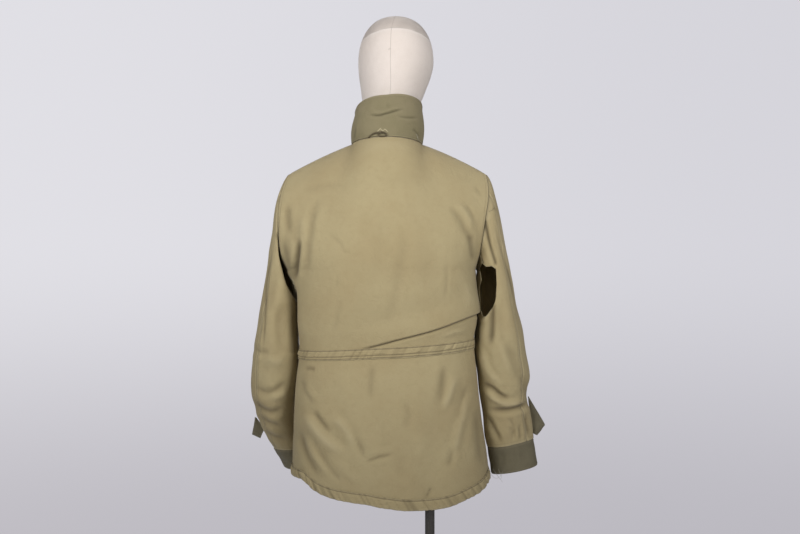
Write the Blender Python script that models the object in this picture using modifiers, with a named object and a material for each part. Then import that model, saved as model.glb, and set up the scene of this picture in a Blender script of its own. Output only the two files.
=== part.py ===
"""Field jacket, turned inside out, on a limbless dress form with a pole and a round base.

Units are metres and +Z is up. The jacket's back faces +Y and the wearer's left side is +X.
The origin is the middle of the base's underside, on the floor.

Every cloth piece is a flat slab laid on a surface that is worked out from the garment's
sizes. Its wall runs along the surface's own normal, so that pieces which share a seam meet
squarely, and a strip that lies on a panel is that panel's own surface, moved out.
"""

import math
from bisect import bisect_left
from functools import cache
from typing import Callable, NamedTuple, Sequence

import bmesh
import bpy
import numpy as np
from mathutils import Vector

# --- Driving sizes of the cloth -------------------------------------------------------------
CLOTH = 0.0020  # wall of a single panel
DOUBLED = 0.0024  # wall of a folded strip, a collar or a cuff
COLLAR_GAP = 0.0006  # between the neckline and the collar
LAID_GAP = 0.0004  # between a panel and what lies on it
RIDGE_GAP = 0.0035  # level that a panel stops short of the shoulder seam's ridge
ARMHOLE_GAP = 0.0012  # at an armhole, where the two walls bend towards each other
CUFF_GAP = 0.0006  # between a sleeve and its cuff

# --- Driving sizes of the body --------------------------------------------------------------
CENTRE_X = 0.0066
ARMPIT_HEIGHT = 1.185
CORNER = 2.0 / 2.4  # exponent of the body's cross-section, a little squarer than an ellipse
FLARE_SHARPNESS = 10  # how closely the spare cloth under the left arm keeps to the side
FLARE_START = 1.62
OVERLAP = math.radians(4.71)  # how far each front runs past the centre
UNDERLAP_DEPTH = 0.0034  # how far the right front's edge lies behind the left front

WAIST_HEIGHT, WAIST_SLOPE = 1.0125, 0.0125
SKIRT_DROP = 0.315  # from the waist down to the hem
CASING_HALF = 0.0115
HEM_TURN = 0.023

# --- Driving sizes of the neck and shoulders ------------------------------------------------
NECK_HALF_WIDTH = 0.0757
NECK_Y = -0.010
NECK_BACK, NECK_FRONT = 0.074, 0.082
NECK_HEIGHT = 1.4615
NECK_BACK_RISE, NECK_FRONT_DROP = 0.006, 0.050
SHOULDER_SHARE = 0.32525  # of a panel's top edge, from the armhole to the neck: a column
COLLAR_OPENING = math.radians(8.0)
COLLAR_SIDE_HEIGHT, COLLAR_BACK_RISE, COLLAR_RIGHT_RISE = 0.066, 0.0195, 0.014
COLLAR_FOOT, COLLAR_BELLY = 0.0022, 0.0045
COLLAR_LEAN_BACK, COLLAR_LEAN_LEFT = 0.010, 0.009

SIDES = {"left": 1.0, "right": -1.0}


class Ring(NamedTuple):
    """How far the body reaches at a level: 0 is the hem, 1 the waist and 2 the armpits."""

    level: float
    left: float
    right: float
    back: float
    front: float


BODY = (
    Ring(0.0, 0.2070, 0.2250, 0.142, 0.150),
    Ring(0.2, 0.2060, 0.2180, 0.139, 0.148),
    Ring(0.4, 0.2040, 0.2090, 0.134, 0.143),
    Ring(0.6, 0.2010, 0.2015, 0.128, 0.137),
    Ring(0.8, 0.1965, 0.1960, 0.121, 0.130),
    Ring(1.0, 0.1905, 0.1905, 0.113, 0.124),
    Ring(1.3, 0.1925, 0.1950, 0.121, 0.131),
    Ring(1.6, 0.1940, 0.2000, 0.129, 0.137),
    Ring(2.0, 0.1950, 0.1926, 0.135, 0.141),
)


class HemPoint(NamedTuple):
    """The hem's height round the body: turn 0 is the left side, 90 the back."""

    turn: float
    z: float


HEM = (
    HemPoint(0, 0.7420),
    HemPoint(12, 0.7430),
    HemPoint(26, 0.7460),
    HemPoint(37, 0.7455),
    HemPoint(47, 0.7320),
    HemPoint(62, 0.7185),
    HemPoint(75, 0.7128),
    HemPoint(83, 0.7093),
    HemPoint(89, 0.7035),
    HemPoint(95, 0.6985),
    HemPoint(107, 0.6965),
    HemPoint(115, 0.6981),
    HemPoint(123, 0.7017),
    HemPoint(130, 0.7072),
    HemPoint(139, 0.7136),
    HemPoint(150, 0.7200),
    HemPoint(163, 0.7300),
    HemPoint(180, 0.7310),
    HemPoint(225, 0.7200),
    HemPoint(270, 0.7160),
    HemPoint(315, 0.7290),
)


class LoopPoint(NamedTuple):
    """A point of an armhole: turn 0 is the shoulder, 90 the back and 180 the armpit."""

    turn: float
    x: float
    y: float
    z: float


ARMHOLE = {
    "left": (
        LoopPoint(0, 0.2230, 0.000, 1.3955),
        LoopPoint(45, 0.2335, 0.036, 1.350),
        LoopPoint(90, 0.2370, 0.055, 1.285),
        LoopPoint(135, 0.2350, 0.041, 1.218),
        LoopPoint(180, 0.2270, 0.000, ARMPIT_HEIGHT),
        LoopPoint(225, 0.2310, -0.045, 1.213),
        LoopPoint(270, 0.2300, -0.066, 1.280),
        LoopPoint(315, 0.2280, -0.043, 1.350),
    ),
    "right": (
        LoopPoint(0, -0.2150, 0.000, 1.3940),
        LoopPoint(45, -0.2135, 0.037, 1.350),
        LoopPoint(90, -0.2045, 0.056, 1.292),
        LoopPoint(135, -0.1940, 0.041, 1.226),
        LoopPoint(180, -0.1860, 0.000, ARMPIT_HEIGHT),
        LoopPoint(225, -0.1930, -0.045, 1.220),
        LoopPoint(270, -0.2040, -0.066, 1.290),
        LoopPoint(315, -0.2130, -0.043, 1.350),
    ),
}


class Opened(NamedTuple):
    """How far the sleeve's edge stands off the armhole, where the seam has come undone."""

    turn: float
    out: float
    down: float


TORN_SEAM = {
    "left": (
        Opened(0, 0.0, 0.0),
        Opened(60, 0.0, 0.0),
        Opened(90, 0.0035, 0.0100),
        Opened(112, 0.0040, 0.0250),
        Opened(135, -0.0020, 0.0420),
        Opened(158, -0.0140, 0.0550),
        Opened(180, -0.0190, 0.0600),
        Opened(225, 0.0, 0.0),
        Opened(315, 0.0, 0.0),
    ),
    "right": (Opened(0, 0.0, 0.0), Opened(180, 0.0, 0.0), Opened(270, 0.0, 0.0)),
}


class Fall(NamedTuple):
    """How the yoke runs down from the top edge: how far out it reaches and how far it drops."""

    share: float
    reach: float
    drop: float


YOKE = (
    Fall(0.00, 0.040, 0.008),
    Fall(0.15, 0.050, 0.007),
    Fall(SHOULDER_SHARE, 0.046, 0.009),
    Fall(0.50, 0.038, 0.046),
)
YOKE_LIFT = 0.085  # how far the chest's own line carries on above the armpits
YOKE_HOLD = 5  # how closely the yoke's edge keeps to the armhole


class Hoop(NamedTuple):
    """A cross-section of a sleeve, from the armpit (0) to the cuff seam (1) and past it."""

    station: float
    z: float
    outer: float
    inner: float
    y: float
    half_depth: float


SLEEVE = {
    "left": (
        Hoop(0.00, 1.110, 0.2835, 0.2075, -0.012, 0.064),
        Hoop(0.18, 1.050, 0.2957, 0.2070, -0.018, 0.065),
        Hoop(0.33, 1.000, 0.3035, 0.2065, -0.022, 0.063),
        Hoop(0.47, 0.950, 0.3090, 0.2090, -0.030, 0.060),
        Hoop(0.62, 0.900, 0.3100, 0.2130, -0.040, 0.056),
        Hoop(0.74, 0.860, 0.3030, 0.2165, -0.058, 0.052),
        Hoop(0.86, 0.820, 0.2920, 0.2130, -0.078, 0.048),
        Hoop(0.95, 0.790, 0.2820, 0.2080, -0.096, 0.046),
        Hoop(1.00, 0.772, 0.2730, 0.2030, -0.106, 0.045),
        Hoop(1.16, 0.723, 0.2500, 0.1870, -0.124, 0.044),
    ),
    "right": (
        Hoop(0.00, 1.160, -0.2685, -0.1965, -0.005, 0.064),
        Hoop(0.17, 1.100, -0.2802, -0.2015, -0.006, 0.065),
        Hoop(0.31, 1.050, -0.2929, -0.1985, -0.008, 0.065),
        Hoop(0.46, 1.000, -0.3015, -0.1960, -0.010, 0.063),
        Hoop(0.60, 0.950, -0.3097, -0.1985, -0.012, 0.060),
        Hoop(0.74, 0.900, -0.3041, -0.2035, -0.014, 0.052),
        Hoop(0.86, 0.860, -0.3110, -0.2100, -0.016, 0.043),
        Hoop(0.95, 0.822, -0.3165, -0.2125, -0.018, 0.036),
        Hoop(1.00, 0.801, -0.3190, -0.2165, -0.020, 0.032),
        Hoop(1.16, 0.742, -0.3285, -0.2255, -0.020, 0.031),
    ),
}
CUFF_TILT = {"left": 0.0, "right": 0.200}  # rise of the cuff's outer end, a slope
CAP_SHARE = 0.30  # of a sleeve's rows, from the armhole to its first hoop
CAP_OUT, CAP_DROP = 0.016, 0.010  # how the cap leaves the shoulder
CAP_LEAN = 0.026  # how far the cap leans in over the first hoop
BACK_SEAM = 50.0  # turn of the seam between top sleeve and under sleeve
CUFF_END = 1.16


class Rip(NamedTuple):
    """An oval hole in a panel, in shares of its width and length."""

    across: float
    along: float
    half_width: float
    half_length: float


UNDERARM_RIP = Rip(0.46, 0.29, 0.21, 0.150)


class Fold(NamedTuple):
    """A crease across the cloth, from one end to the other, by its place from behind.

    height is how far it stands out, or in when negative. upper and lower are how wide it is
    above and below its line.
    """

    x0: float
    z0: float
    x1: float
    z1: float
    upper: float
    lower: float
    height: float


BACK_FOLDS = (
    Fold(0.060, 1.028, -0.030, 1.048, 0.034, 0.007, 0.0070),
    Fold(-0.030, 1.048, -0.140, 1.082, 0.032, 0.007, 0.0080),
    Fold(0.168, 0.890, 0.085, 0.790, 0.014, 0.014, 0.0060),
    Fold(0.160, 0.905, 0.128, 0.862, 0.012, 0.012, -0.0045),
    Fold(0.112, 0.886, 0.048, 0.800, 0.014, 0.014, 0.0040),
    Fold(0.070, 0.850, 0.045, 0.790, 0.012, 0.012, -0.0040),
    Fold(-0.140, 0.960, -0.100, 0.890, 0.014, 0.014, 0.0045),
    Fold(-0.155, 0.945, -0.140, 0.850, 0.012, 0.012, -0.0040),
    Fold(0.188, 1.250, 0.196, 1.150, 0.011, 0.011, -0.0085),
    Fold(0.160, 1.270, 0.166, 1.120, 0.013, 0.013, -0.0040),
    Fold(-0.128, 1.330, -0.170, 1.235, 0.015, 0.015, -0.0045),
    Fold(-0.170, 1.235, -0.172, 1.150, 0.012, 0.012, -0.0050),
)
FRONT_FOLDS = (
    Fold(0.150, 1.040, 0.040, 1.060, 0.030, 0.010, 0.0060),
    Fold(-0.060, 1.046, -0.150, 1.060, 0.030, 0.010, 0.0060),
    Fold(0.150, 0.900, 0.080, 0.800, 0.016, 0.016, 0.0050),
    Fold(-0.150, 0.900, -0.100, 0.810, 0.016, 0.016, 0.0050),
    Fold(0.170, 1.250, 0.160, 1.130, 0.014, 0.014, -0.0050),
    Fold(-0.165, 1.250, -0.158, 1.130, 0.014, 0.014, -0.0050),
)
SLEEVE_FOLDS = {
    "left": (
        Fold(0.300, 1.010, 0.240, 0.975, 0.012, 0.012, -0.0045),
        Fold(0.305, 0.930, 0.225, 0.915, 0.012, 0.012, -0.0050),
        Fold(0.300, 0.880, 0.225, 0.850, 0.011, 0.011, -0.0050),
        Fold(0.285, 0.835, 0.215, 0.815, 0.009, 0.009, -0.0035),
    ),
    "right": (
        Fold(-0.206, 1.290, -0.228, 1.205, 0.008, 0.008, -0.0040),
        Fold(-0.200, 0.932, -0.238, 0.903, 0.009, 0.009, -0.0065),
        Fold(-0.236, 0.893, -0.275, 0.886, 0.009, 0.009, -0.0060),
        Fold(-0.282, 0.960, -0.300, 0.900, 0.010, 0.010, -0.0040),
        Fold(-0.292, 0.868, -0.302, 0.832, 0.007, 0.007, -0.0050),
        Fold(-0.214, 0.846, -0.234, 0.822, 0.007, 0.007, -0.0045),
    ),
}


class Slice(NamedTuple):
    """A cross-section of the dress form, from its crown (0) to its underside (1)."""

    share: float
    z: float
    half_width: float
    half_depth: float
    x: float
    y: float
    point: float = 1.0  # exponent of the section: 1 is an ellipse, more draws in its sides


FORM = (
    Slice(0.00000, 1.7403, 0.0000, 0.0000, -0.0136, -0.018),
    Slice(0.04000, 1.7365, 0.0300, 0.0350, -0.0136, -0.018),
    Slice(0.08000, 1.7250, 0.0520, 0.0620, -0.0136, -0.018),
    Slice(0.12000, 1.7070, 0.0675, 0.0800, -0.0136, -0.018),
    Slice(0.16000, 1.6850, 0.0775, 0.0920, -0.0136, -0.018),
    Slice(0.20000, 1.6600, 0.0826, 0.0970, -0.0134, -0.018),
    Slice(0.24000, 1.6350, 0.0830, 0.0970, -0.0130, -0.018),
    Slice(0.28000, 1.6100, 0.0790, 0.0940, -0.0110, -0.018),
    Slice(0.32000, 1.5850, 0.0725, 0.0880, -0.0080, -0.018),
    Slice(0.36000, 1.5620, 0.0665, 0.0780, -0.0050, -0.016),
    Slice(0.40000, 1.5400, 0.0600, 0.0670, -0.0020, -0.014),
    Slice(0.44000, 1.5150, 0.0555, 0.0580, 0.0010, -0.010),
    Slice(0.50000, 1.4790, 0.0590, 0.0550, 0.0050, -0.007),
    Slice(0.53125, 1.4610, 0.0680, 0.0500, 0.0066, -0.007, 1.1),
    Slice(0.56250, 1.4511, 0.0795, 0.0440, 0.0066, -0.007, 1.2),
    Slice(0.59375, 1.4371, 0.1055, 0.0405, 0.0066, -0.007, 1.2),
    Slice(0.62500, 1.4201, 0.1600, 0.0470, 0.0066, -0.006, 1.2),
    Slice(0.65625, 1.3970, 0.1870, 0.0550, 0.0066, -0.004, 1.2),
    Slice(0.68750, 1.3600, 0.1945, 0.0690, 0.0066, -0.001, 1.1),
    Slice(0.71875, 1.3190, 0.1940, 0.0820, 0.0066, 0.000),
    Slice(0.75000, 1.2740, 0.1870, 0.0940, 0.0066, 0.000),
    Slice(0.78000, 1.2200, 0.1740, 0.1030, 0.0066, 0.000),
    Slice(0.82000, 1.1400, 0.1570, 0.1030, 0.0066, -0.002),
    Slice(0.86000, 1.0500, 0.1420, 0.0890, 0.0066, -0.004),
    Slice(0.90000, 0.9500, 0.1480, 0.0960, 0.0066, -0.002),
    Slice(0.93750, 0.8300, 0.1620, 0.1060, 0.0066, 0.000),
    Slice(0.96875, 0.8000, 0.1540, 0.0980, 0.0066, 0.000),
    Slice(1.00000, 0.8000, 0.0000, 0.0000, 0.0066, 0.000),
)
FORM_BOTTOM = 0.8000

# --- Driving sizes of the stand -------------------------------------------------------------
POLE_X, POLE_RADIUS = -0.088, 0.0105
BASE_RADIUS, BASE_THICKNESS = 0.190, 0.012
FLANGE_RADIUS, FLANGE_THICKNESS = 0.034, 0.006
SOCKET_RADIUS, SOCKET_HEIGHT = 0.020, 0.045

# --- Driving sizes of the fastenings --------------------------------------------------------
BUTTON_RADIUS, BUTTON_THICKNESS = 0.0105, 0.0032
BUTTON_LEVELS = (0.28, 0.78, 1.35, 2.05, 2.62)
LOOP_RADIUS = 0.0016


class LoopKnot(NamedTuple):
    """A point of the hanger loop's middle line, by its place and height on the collar."""

    x: float
    height: float


LOOP = (
    LoopKnot(0.0420, 0.0022),
    LoopKnot(0.0340, 0.0035),
    LoopKnot(0.0265, 0.0060),
    LoopKnot(0.0180, 0.0080),
    LoopKnot(0.0110, 0.0084),
    LoopKnot(0.0066, 0.0064),
    LoopKnot(0.0072, 0.0036),
    LoopKnot(0.0120, 0.0022),
    LoopKnot(0.0180, 0.0024),
)

# --- How fine the panels are ----------------------------------------------------------------
BACK_COLUMNS, FRONT_COLUMNS = 24, 12
LAPPED_COLUMNS = 3  # of the right front, left bare under the left front's lap
SKIRT_ROWS, CHEST_ROWS, YOKE_ROWS = 7, 6, 12
SLEEVE_COLUMNS, SLEEVE_ROWS = 10, 20
# A sleeve half is one cloth, in nodes one below the other; each node's first and last row.
SLEEVE_PARTS = {
    "top": {"cap": (0, 5), "upper": (5, 10), "elbow": (10, 15), "lower": (15, 20)},
    "under": {"upper": (0, 10), "elbow": (10, 15), "lower": (15, 20)},
}
PART_GAP = 0.0004  # of a sleeve's rows, that a node stops short of the next
EDGE_PACKING = 0.75  # how much closer the columns stand at a panel's edges
CAP_PACKING = 1.25  # power that packs a sleeve's rows towards the armhole
COLLAR_COLUMNS, COLLAR_ROWS = 26, 4
CUFF_ROWS = 2

Surface = Callable[[float, float], Vector]


class Sheet(NamedTuple):
    """A cloth piece: the surface it lies on, and where its columns and rows stand.

    facing is 1 where a step across and then a step along turn right-handed about the outward
    normal, and -1 where they turn left-handed. lift is how far the outer face stands off the
    surface.
    """

    name: str
    surface: Surface
    facing: float
    columns: Sequence[float]
    rows: Sequence[float]
    finish: str = "poplin"
    wall: float = CLOTH
    lift: float = 0.0
    closed: bool = False


FINISHES = {
    "poplin": ((0.42, 0.35, 0.20, 1.0), 0.85, 0.0),
    "olive_cotton": ((0.16, 0.145, 0.085, 1.0), 0.9, 0.0),
    "linen": ((0.78, 0.70, 0.62, 1.0), 0.9, 0.0),
    "button_plastic": ((0.13, 0.11, 0.07, 1.0), 0.5, 0.0),
    "painted_steel": ((0.055, 0.05, 0.045, 1.0), 0.45, 0.6),
}


@cache
def column_of(table: tuple, column: str) -> tuple[list, list, list]:
    """A table's stations, with one column's values and slopes there."""
    stations = np.array([row[0] for row in table], float)
    values = np.array([getattr(row, column) for row in table], float)
    return stations.tolist(), values.tolist(), np.gradient(values, stations).tolist()


@cache
def wrapped(table: tuple) -> tuple:
    """A closed table with its last rows repeated before it and its first ones after it."""
    before = [row._replace(turn=row.turn - 360.0) for row in table[-2:]]
    after = [row._replace(turn=row.turn + 360.0) for row in table[:2]]
    return (*before, *table, *after)


def read(table: tuple, column: str, place: float) -> float:
    """Reads a smooth curve through one column of a table, whose first column rises."""
    stations, values, slopes = column_of(table, column)
    index = min(max(bisect_left(stations, place) - 1, 0), len(stations) - 2)
    span = stations[index + 1] - stations[index]
    part = min(max((place - stations[index]) / span, 0.0), 1.0)
    squared, cubed = part * part, part**3
    return (
        (2 * cubed - 3 * squared + 1) * values[index]
        + (cubed - 2 * squared + part) * span * slopes[index]
        + (3 * squared - 2 * cubed) * values[index + 1]
        + (cubed - squared) * span * slopes[index + 1]
    )


def read_loop(table: tuple, column: str, turn: float) -> float:
    """Reads a smooth closed curve through one column of a table, by its turn in degrees."""
    return read(wrapped(table), column, turn % 360.0)


def ease(part: float) -> float:
    """A smooth step from 0 to 1."""
    part = min(max(part, 0.0), 1.0)
    return part * part * (3.0 - 2.0 * part)


def mix(first, second, part: float):
    """The point or number between two others."""
    return first * (1.0 - part) + second * part


def bezier(points: tuple, part: float) -> Vector:
    """A cubic curve's point."""
    rest = 1.0 - part
    weights = (rest**3, 3 * rest * rest * part, 3 * rest * part * part, part**3)
    return sum((point * weight for point, weight in zip(points, weights)), Vector((0, 0, 0)))


def relief(folds: tuple, x: float, z: float) -> float:
    """How far the folds lift the cloth at a place, as seen from behind."""
    total = 0.0
    for fold in folds:
        run = Vector((fold.x1 - fold.x0, fold.z1 - fold.z0))
        away = Vector((x - fold.x0, z - fold.z0))
        along = away.dot(run) / run.length_squared
        across = (run.x * away.y - run.y * away.x) / run.length
        if run.x < 0:
            across = -across
        width = fold.upper if across > 0 else fold.lower
        end = 1.0 - max(-along, along - 1.0, 0.0) * run.length / (1.5 * fold.upper)
        total += fold.height * math.exp(-((across / width) ** 2)) * ease(end)
    return total


# --- The body -------------------------------------------------------------------------------
def hem_height(angle: float) -> float:
    """The hem's height around the body: it dips at the back."""
    return read_loop(HEM, "z", math.degrees(angle))


def waist_height(angle: float) -> float:
    """The middle of the drawcord casing, which rises towards the right side."""
    return WAIST_HEIGHT - WAIST_SLOPE * math.cos(angle)


def body_ring(angle: float, level: float, flared: bool = True) -> Vector:
    """A point round the body; angle 0 is the left side, 90 degrees the back."""
    cosine, sine = math.cos(angle), math.sin(angle)
    reach = read(BODY, "left" if cosine > 0 else "right", level)
    depth = read(BODY, "back" if sine > 0 else "front", level)
    x = CENTRE_X + math.copysign(reach * abs(cosine) ** CORNER, cosine)
    y = math.copysign(depth * abs(sine) ** CORNER, sine)
    if flared and cosine > 0:
        underarm = ARMHOLE["left"][4].x - CENTRE_X - BODY[-1].left
        spread = ease((level - FLARE_START) / (2.0 - FLARE_START))
        x += underarm * spread**2 * cosine**FLARE_SHARPNESS
    if level < 1.0:
        z = mix(hem_height(angle), waist_height(angle), level)
    else:
        z = mix(waist_height(angle), ARMPIT_HEIGHT, level - 1.0)
    return Vector((x, y, z))


def body_levels() -> dict[str, list[float]]:
    """The levels of the body's rows, and of the strips that lie on some of them."""
    hem_turn = HEM_TURN / SKIRT_DROP
    under_casing = 1.0 - CASING_HALF / SKIRT_DROP
    over_casing = 1.0 + CASING_HALF / (ARMPIT_HEIGHT - WAIST_HEIGHT)
    skirt = np.linspace(hem_turn, under_casing, SKIRT_ROWS + 1)
    chest = np.linspace(over_casing, 2.0, CHEST_ROWS + 1)
    yoke = np.linspace(2.0, 3.0 - RIDGE_GAP, YOKE_ROWS + 1)
    return {
        "panel": [0.0, *skirt, 1.0, *chest, *yoke[1:]],
        "hem_turn": [0.0, hem_turn],
        "waist_casing": [under_casing, 1.0, over_casing],
    }


def armhole(side: str, turn: float) -> Vector:
    """A point of a body armhole's edge."""
    return Vector([read_loop(ARMHOLE[side], axis, turn) for axis in "xyz"])


def neck_point(angle: float) -> Vector:
    """A point of the neckline; angle 0 is the left side, 90 degrees the back."""
    sine = math.sin(angle)
    depth = NECK_BACK if sine > 0 else NECK_FRONT
    lift = NECK_BACK_RISE if sine > 0 else -NECK_FRONT_DROP
    x = CENTRE_X + NECK_HALF_WIDTH * math.cos(angle)
    return Vector((x, NECK_Y + depth * sine, NECK_HEIGHT + lift * sine * sine))


def shoulder_seam(side: str, part: float) -> Vector:
    """A point of a shoulder seam, from the armhole (0) to the neck (1)."""
    neck = neck_point(0.0 if side == "left" else math.pi)
    crown = 0.003 if side == "left" else 0.004
    point = mix(armhole(side, 0.0), neck, part)
    return point + Vector((0, 0, crown * 4.0 * part * (1.0 - part)))


def top_edge(angle: float) -> Vector:
    """The top edge above a place round the body: shoulder seams and neckline."""
    share = abs(math.degrees(angle)) / 180.0
    if share < SHOULDER_SHARE:
        return shoulder_seam("left", share / SHOULDER_SHARE)
    if share > 1.0 - SHOULDER_SHARE:
        return shoulder_seam("right", (1.0 - share) / SHOULDER_SHARE)
    part = (share - SHOULDER_SHARE) / (1.0 - 2.0 * SHOULDER_SHARE)
    return neck_point(math.copysign(math.pi * part, angle))


def yoke_line(angle: float, rise: float) -> Vector:
    """The smooth line from the chest up to the top edge."""
    share = abs(math.degrees(angle)) / 180.0
    fall_at = min(share, 1.0 - share)
    outwards = math.copysign(1.0, angle)
    base = body_ring(angle, 2.0)
    slope = body_ring(angle, 2.0, False) - body_ring(angle, 1.9, False)
    top = top_edge(angle)
    reach, drop = read(YOKE, "reach", fall_at), read(YOKE, "drop", fall_at)
    lifted = base + slope * (YOKE_LIFT / slope.z)
    return bezier((base, lifted, top + Vector((0, outwards * reach, -drop)), top), rise)


def body_smooth(angle: float, level: float) -> Vector:
    """The body's surface with no folds in it."""
    if level <= 2.0:
        return body_ring(angle, level)
    rise = level - 2.0
    point = yoke_line(angle, rise)
    share = abs(angle) / math.pi
    turn = 180.0 * (1.0 - rise) if angle >= 0 else 180.0 * (1.0 + rise)
    for side, edge, hold in (("left", 0.0, 1.0 - share), ("right", math.pi, share)):
        edge = math.copysign(edge, angle)
        point += (armhole(side, turn) - yoke_line(edge, rise)) * hold**YOKE_HOLD
    return point


def body_surface(angle: float, level: float) -> Vector:
    """The body's surface, with its folds, standing out to the front or the back."""
    point = body_smooth(angle, level)
    folds = BACK_FOLDS if angle > 0 else FRONT_FOLDS
    outwards = Vector((point.x - CENTRE_X, 2.0 * point.y, 0.0)).normalized()
    return point + outwards * relief(folds, point.x, point.z) * ease(1.0 - (level - 2.0))


def back_panel(across: float, level: float) -> Vector:
    """The back, from the left side seam (0) to the right (1)."""
    seam = math.radians(0.06)
    return body_surface(mix(seam, math.pi - seam, across), level)


def front_panel(side: str) -> Surface:
    """A front, from its side seam (0) to its edge (1) past the centre."""

    def point(across: float, level: float) -> Vector:
        reach = math.pi / 2.0 + OVERLAP
        turned = mix(math.radians(0.06), reach, across)
        angle = -turned if side == "left" else turned - math.pi
        place = body_surface(angle, level)
        if side == "right":
            under = ease((turned - math.radians(68.0)) / math.radians(14.0))
            inwards = Vector((CENTRE_X - place.x, -place.y, 0.0)).normalized()
            place += inwards * UNDERLAP_DEPTH * under
        return place

    return point


# --- The sleeves ----------------------------------------------------------------------------
def hoop_point(side: str, turn: float, station: float) -> Vector:
    """A point round a sleeve; turn 0 is its outer side and 90 its back."""
    rows = SLEEVE[side]
    outer, inner = read(rows, "outer", station), read(rows, "inner", station)
    angle = math.radians(turn)
    x = (outer + inner) / 2.0 + (outer - inner) / 2.0 * math.cos(angle)
    y = read(rows, "y", station) + read(rows, "half_depth", station) * math.sin(angle)
    tilt = CUFF_TILT[side] * ease((station - 0.7) / 0.3)
    z = read(rows, "z", station) + tilt * abs(outer - inner) / 2.0 * math.cos(angle)
    return Vector((x, y, z))


def sleeve_edge(side: str, turn: float) -> Vector:
    """A point of the sleeve's upper edge: the armhole, moved off it where the seam is torn."""
    out = ARMHOLE_GAP + read_loop(TORN_SEAM[side], "out", turn)
    down = read_loop(TORN_SEAM[side], "down", turn)
    return armhole(side, turn) + Vector((SIDES[side] * out, 0.0, -down))


def sleeve_surface(side: str, turn: float, along: float) -> Vector:
    """The sleeve's surface, from the armhole (0) to the cuff seam (1), with its folds."""
    if along < CAP_SHARE:
        upper = (1.0 + math.cos(math.radians(turn))) / 2.0
        start, end = sleeve_edge(side, turn), hoop_point(side, turn, 0.0)
        leave = Vector((SIDES[side] * CAP_OUT, 0.0, -CAP_DROP)) * (0.25 + 0.75 * upper)
        arrive = Vector((-SIDES[side] * CAP_LEAN * upper, 0.0, 0.55 * (start.z - end.z)))
        point = bezier((start, start + leave, end + arrive, end), along / CAP_SHARE)
        fade = ease(along / CAP_SHARE * 2.0)
    else:
        point = hoop_point(side, turn, (along - CAP_SHARE) / (1.0 - CAP_SHARE))
        fade = 1.0 if turn <= 180.0 else 0.0
    angle = math.radians(turn)
    outwards = Vector((SIDES[side] * math.cos(angle), math.sin(angle), 0.0))
    facing = max(math.sin(angle), 0.0) ** 0.5
    return point + outwards * relief(SLEEVE_FOLDS[side], point.x, point.z) * fade * facing


def sleeve_piece(side: str, first_turn: float) -> Surface:
    """Half of a sleeve, between its two long seams."""

    def point(across: float, along: float) -> Vector:
        seam = 0.35  # degrees that each piece stops short of the seam
        turn = first_turn + mix(seam, 180.0 - seam, across)
        return sleeve_surface(side, turn % 360.0, along**CAP_PACKING)

    return point


def cuff_surface(side: str) -> Surface:
    """A cuff, all round from the sleeve's back seam, from the sleeve's edge down."""

    def point(across: float, along: float) -> Vector:
        station = mix(1.0, CUFF_END, along)
        place = hoop_point(side, BACK_SEAM + 360.0 * across, station)
        return place - Vector((0.0, 0.0, CUFF_GAP))

    return point


# --- The collar -----------------------------------------------------------------------------
def collar_surface(across: float, up: float) -> Vector:
    """The standing collar, from its left front end (0) round the back to its right (1)."""
    angle = mix(COLLAR_OPENING - math.pi / 2.0, 1.5 * math.pi - COLLAR_OPENING, across)
    base = neck_point(angle)
    cosine, sine = math.cos(angle), math.sin(angle)
    back, left, right = max(sine, 0.0), max(cosine, 0.0), max(-cosine, 0.0)
    belly = COLLAR_FOOT + COLLAR_BELLY * math.sin(math.pi * min(up * 1.2, 1.0)) * abs(cosine)
    lean = COLLAR_LEAN_BACK * back - COLLAR_LEAN_LEFT * left - 0.004 * max(-sine, 0.0)
    height = COLLAR_SIDE_HEIGHT + COLLAR_BACK_RISE * back + COLLAR_RIGHT_RISE * right
    outwards = Vector((cosine, sine, 0.0)) * (belly + lean * up)
    return base + outwards + Vector((0.0, 0.0, COLLAR_GAP + height * up))


# --- Making the objects ---------------------------------------------------------------------
def new_object(name: str, mesh: bpy.types.Mesh, finish: str) -> bpy.types.Object:
    """Places a mesh in the jacket's collection, with its finish."""
    item = bpy.data.objects.new(name, mesh)
    mesh.materials.append(bpy.data.materials[finish])
    mesh.shade_smooth()
    bpy.data.collections["field_jacket_on_dress_form"].objects.link(item)
    return item


def finish_mesh(name: str, bm: bmesh.types.BMesh, finish: str) -> bpy.types.Object:
    """Turns a bmesh into a named object."""
    mesh = bpy.data.meshes.new(name)
    bm.to_mesh(mesh)
    bm.free()
    return new_object(name, mesh, finish)


def packed(count: int) -> np.ndarray:
    """Columns that stand closer together towards both edges."""
    even = np.linspace(0.0, 1.0, count + 1)
    return mix(even, (1.0 - np.cos(math.pi * even)) / 2.0, EDGE_PACKING)


def cut_rip(bm: bmesh.types.BMesh, rip: Rip) -> None:
    """Opens an oval in a flat grid and draws its edge onto the oval."""

    def offset(place: Vector) -> Vector:
        return Vector(
            ((place.x - rip.across) / rip.half_width, (place.y - rip.along) / rip.half_length)
        )

    torn = [face for face in bm.faces if offset(face.calc_center_median()).length < 1.0]
    rim = {vert for face in torn for vert in face.verts}
    bmesh.ops.delete(bm, geom=torn, context="FACES")
    for vert in rim:
        if not vert.is_valid:
            continue
        away = offset(vert.co).normalized()
        vert.co.x = rip.across + away.x * rip.half_width
        vert.co.y = rip.along + away.y * rip.half_length


def normal_at(sheet: Sheet, across: float, along: float) -> Vector:
    """The outward normal of a sheet's surface."""
    step = 1e-3
    first, last = across - step, across + step
    if not sheet.closed:
        first, last = max(first, 0.0), min(last, 1.0)
    before, after = max(along - step, sheet.rows[0]), min(along + step, sheet.rows[-1])
    widthwise = sheet.surface(last, along) - sheet.surface(first, along)
    lengthwise = sheet.surface(across, after) - sheet.surface(across, before)
    return widthwise.cross(lengthwise).normalized() * sheet.facing


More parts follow.
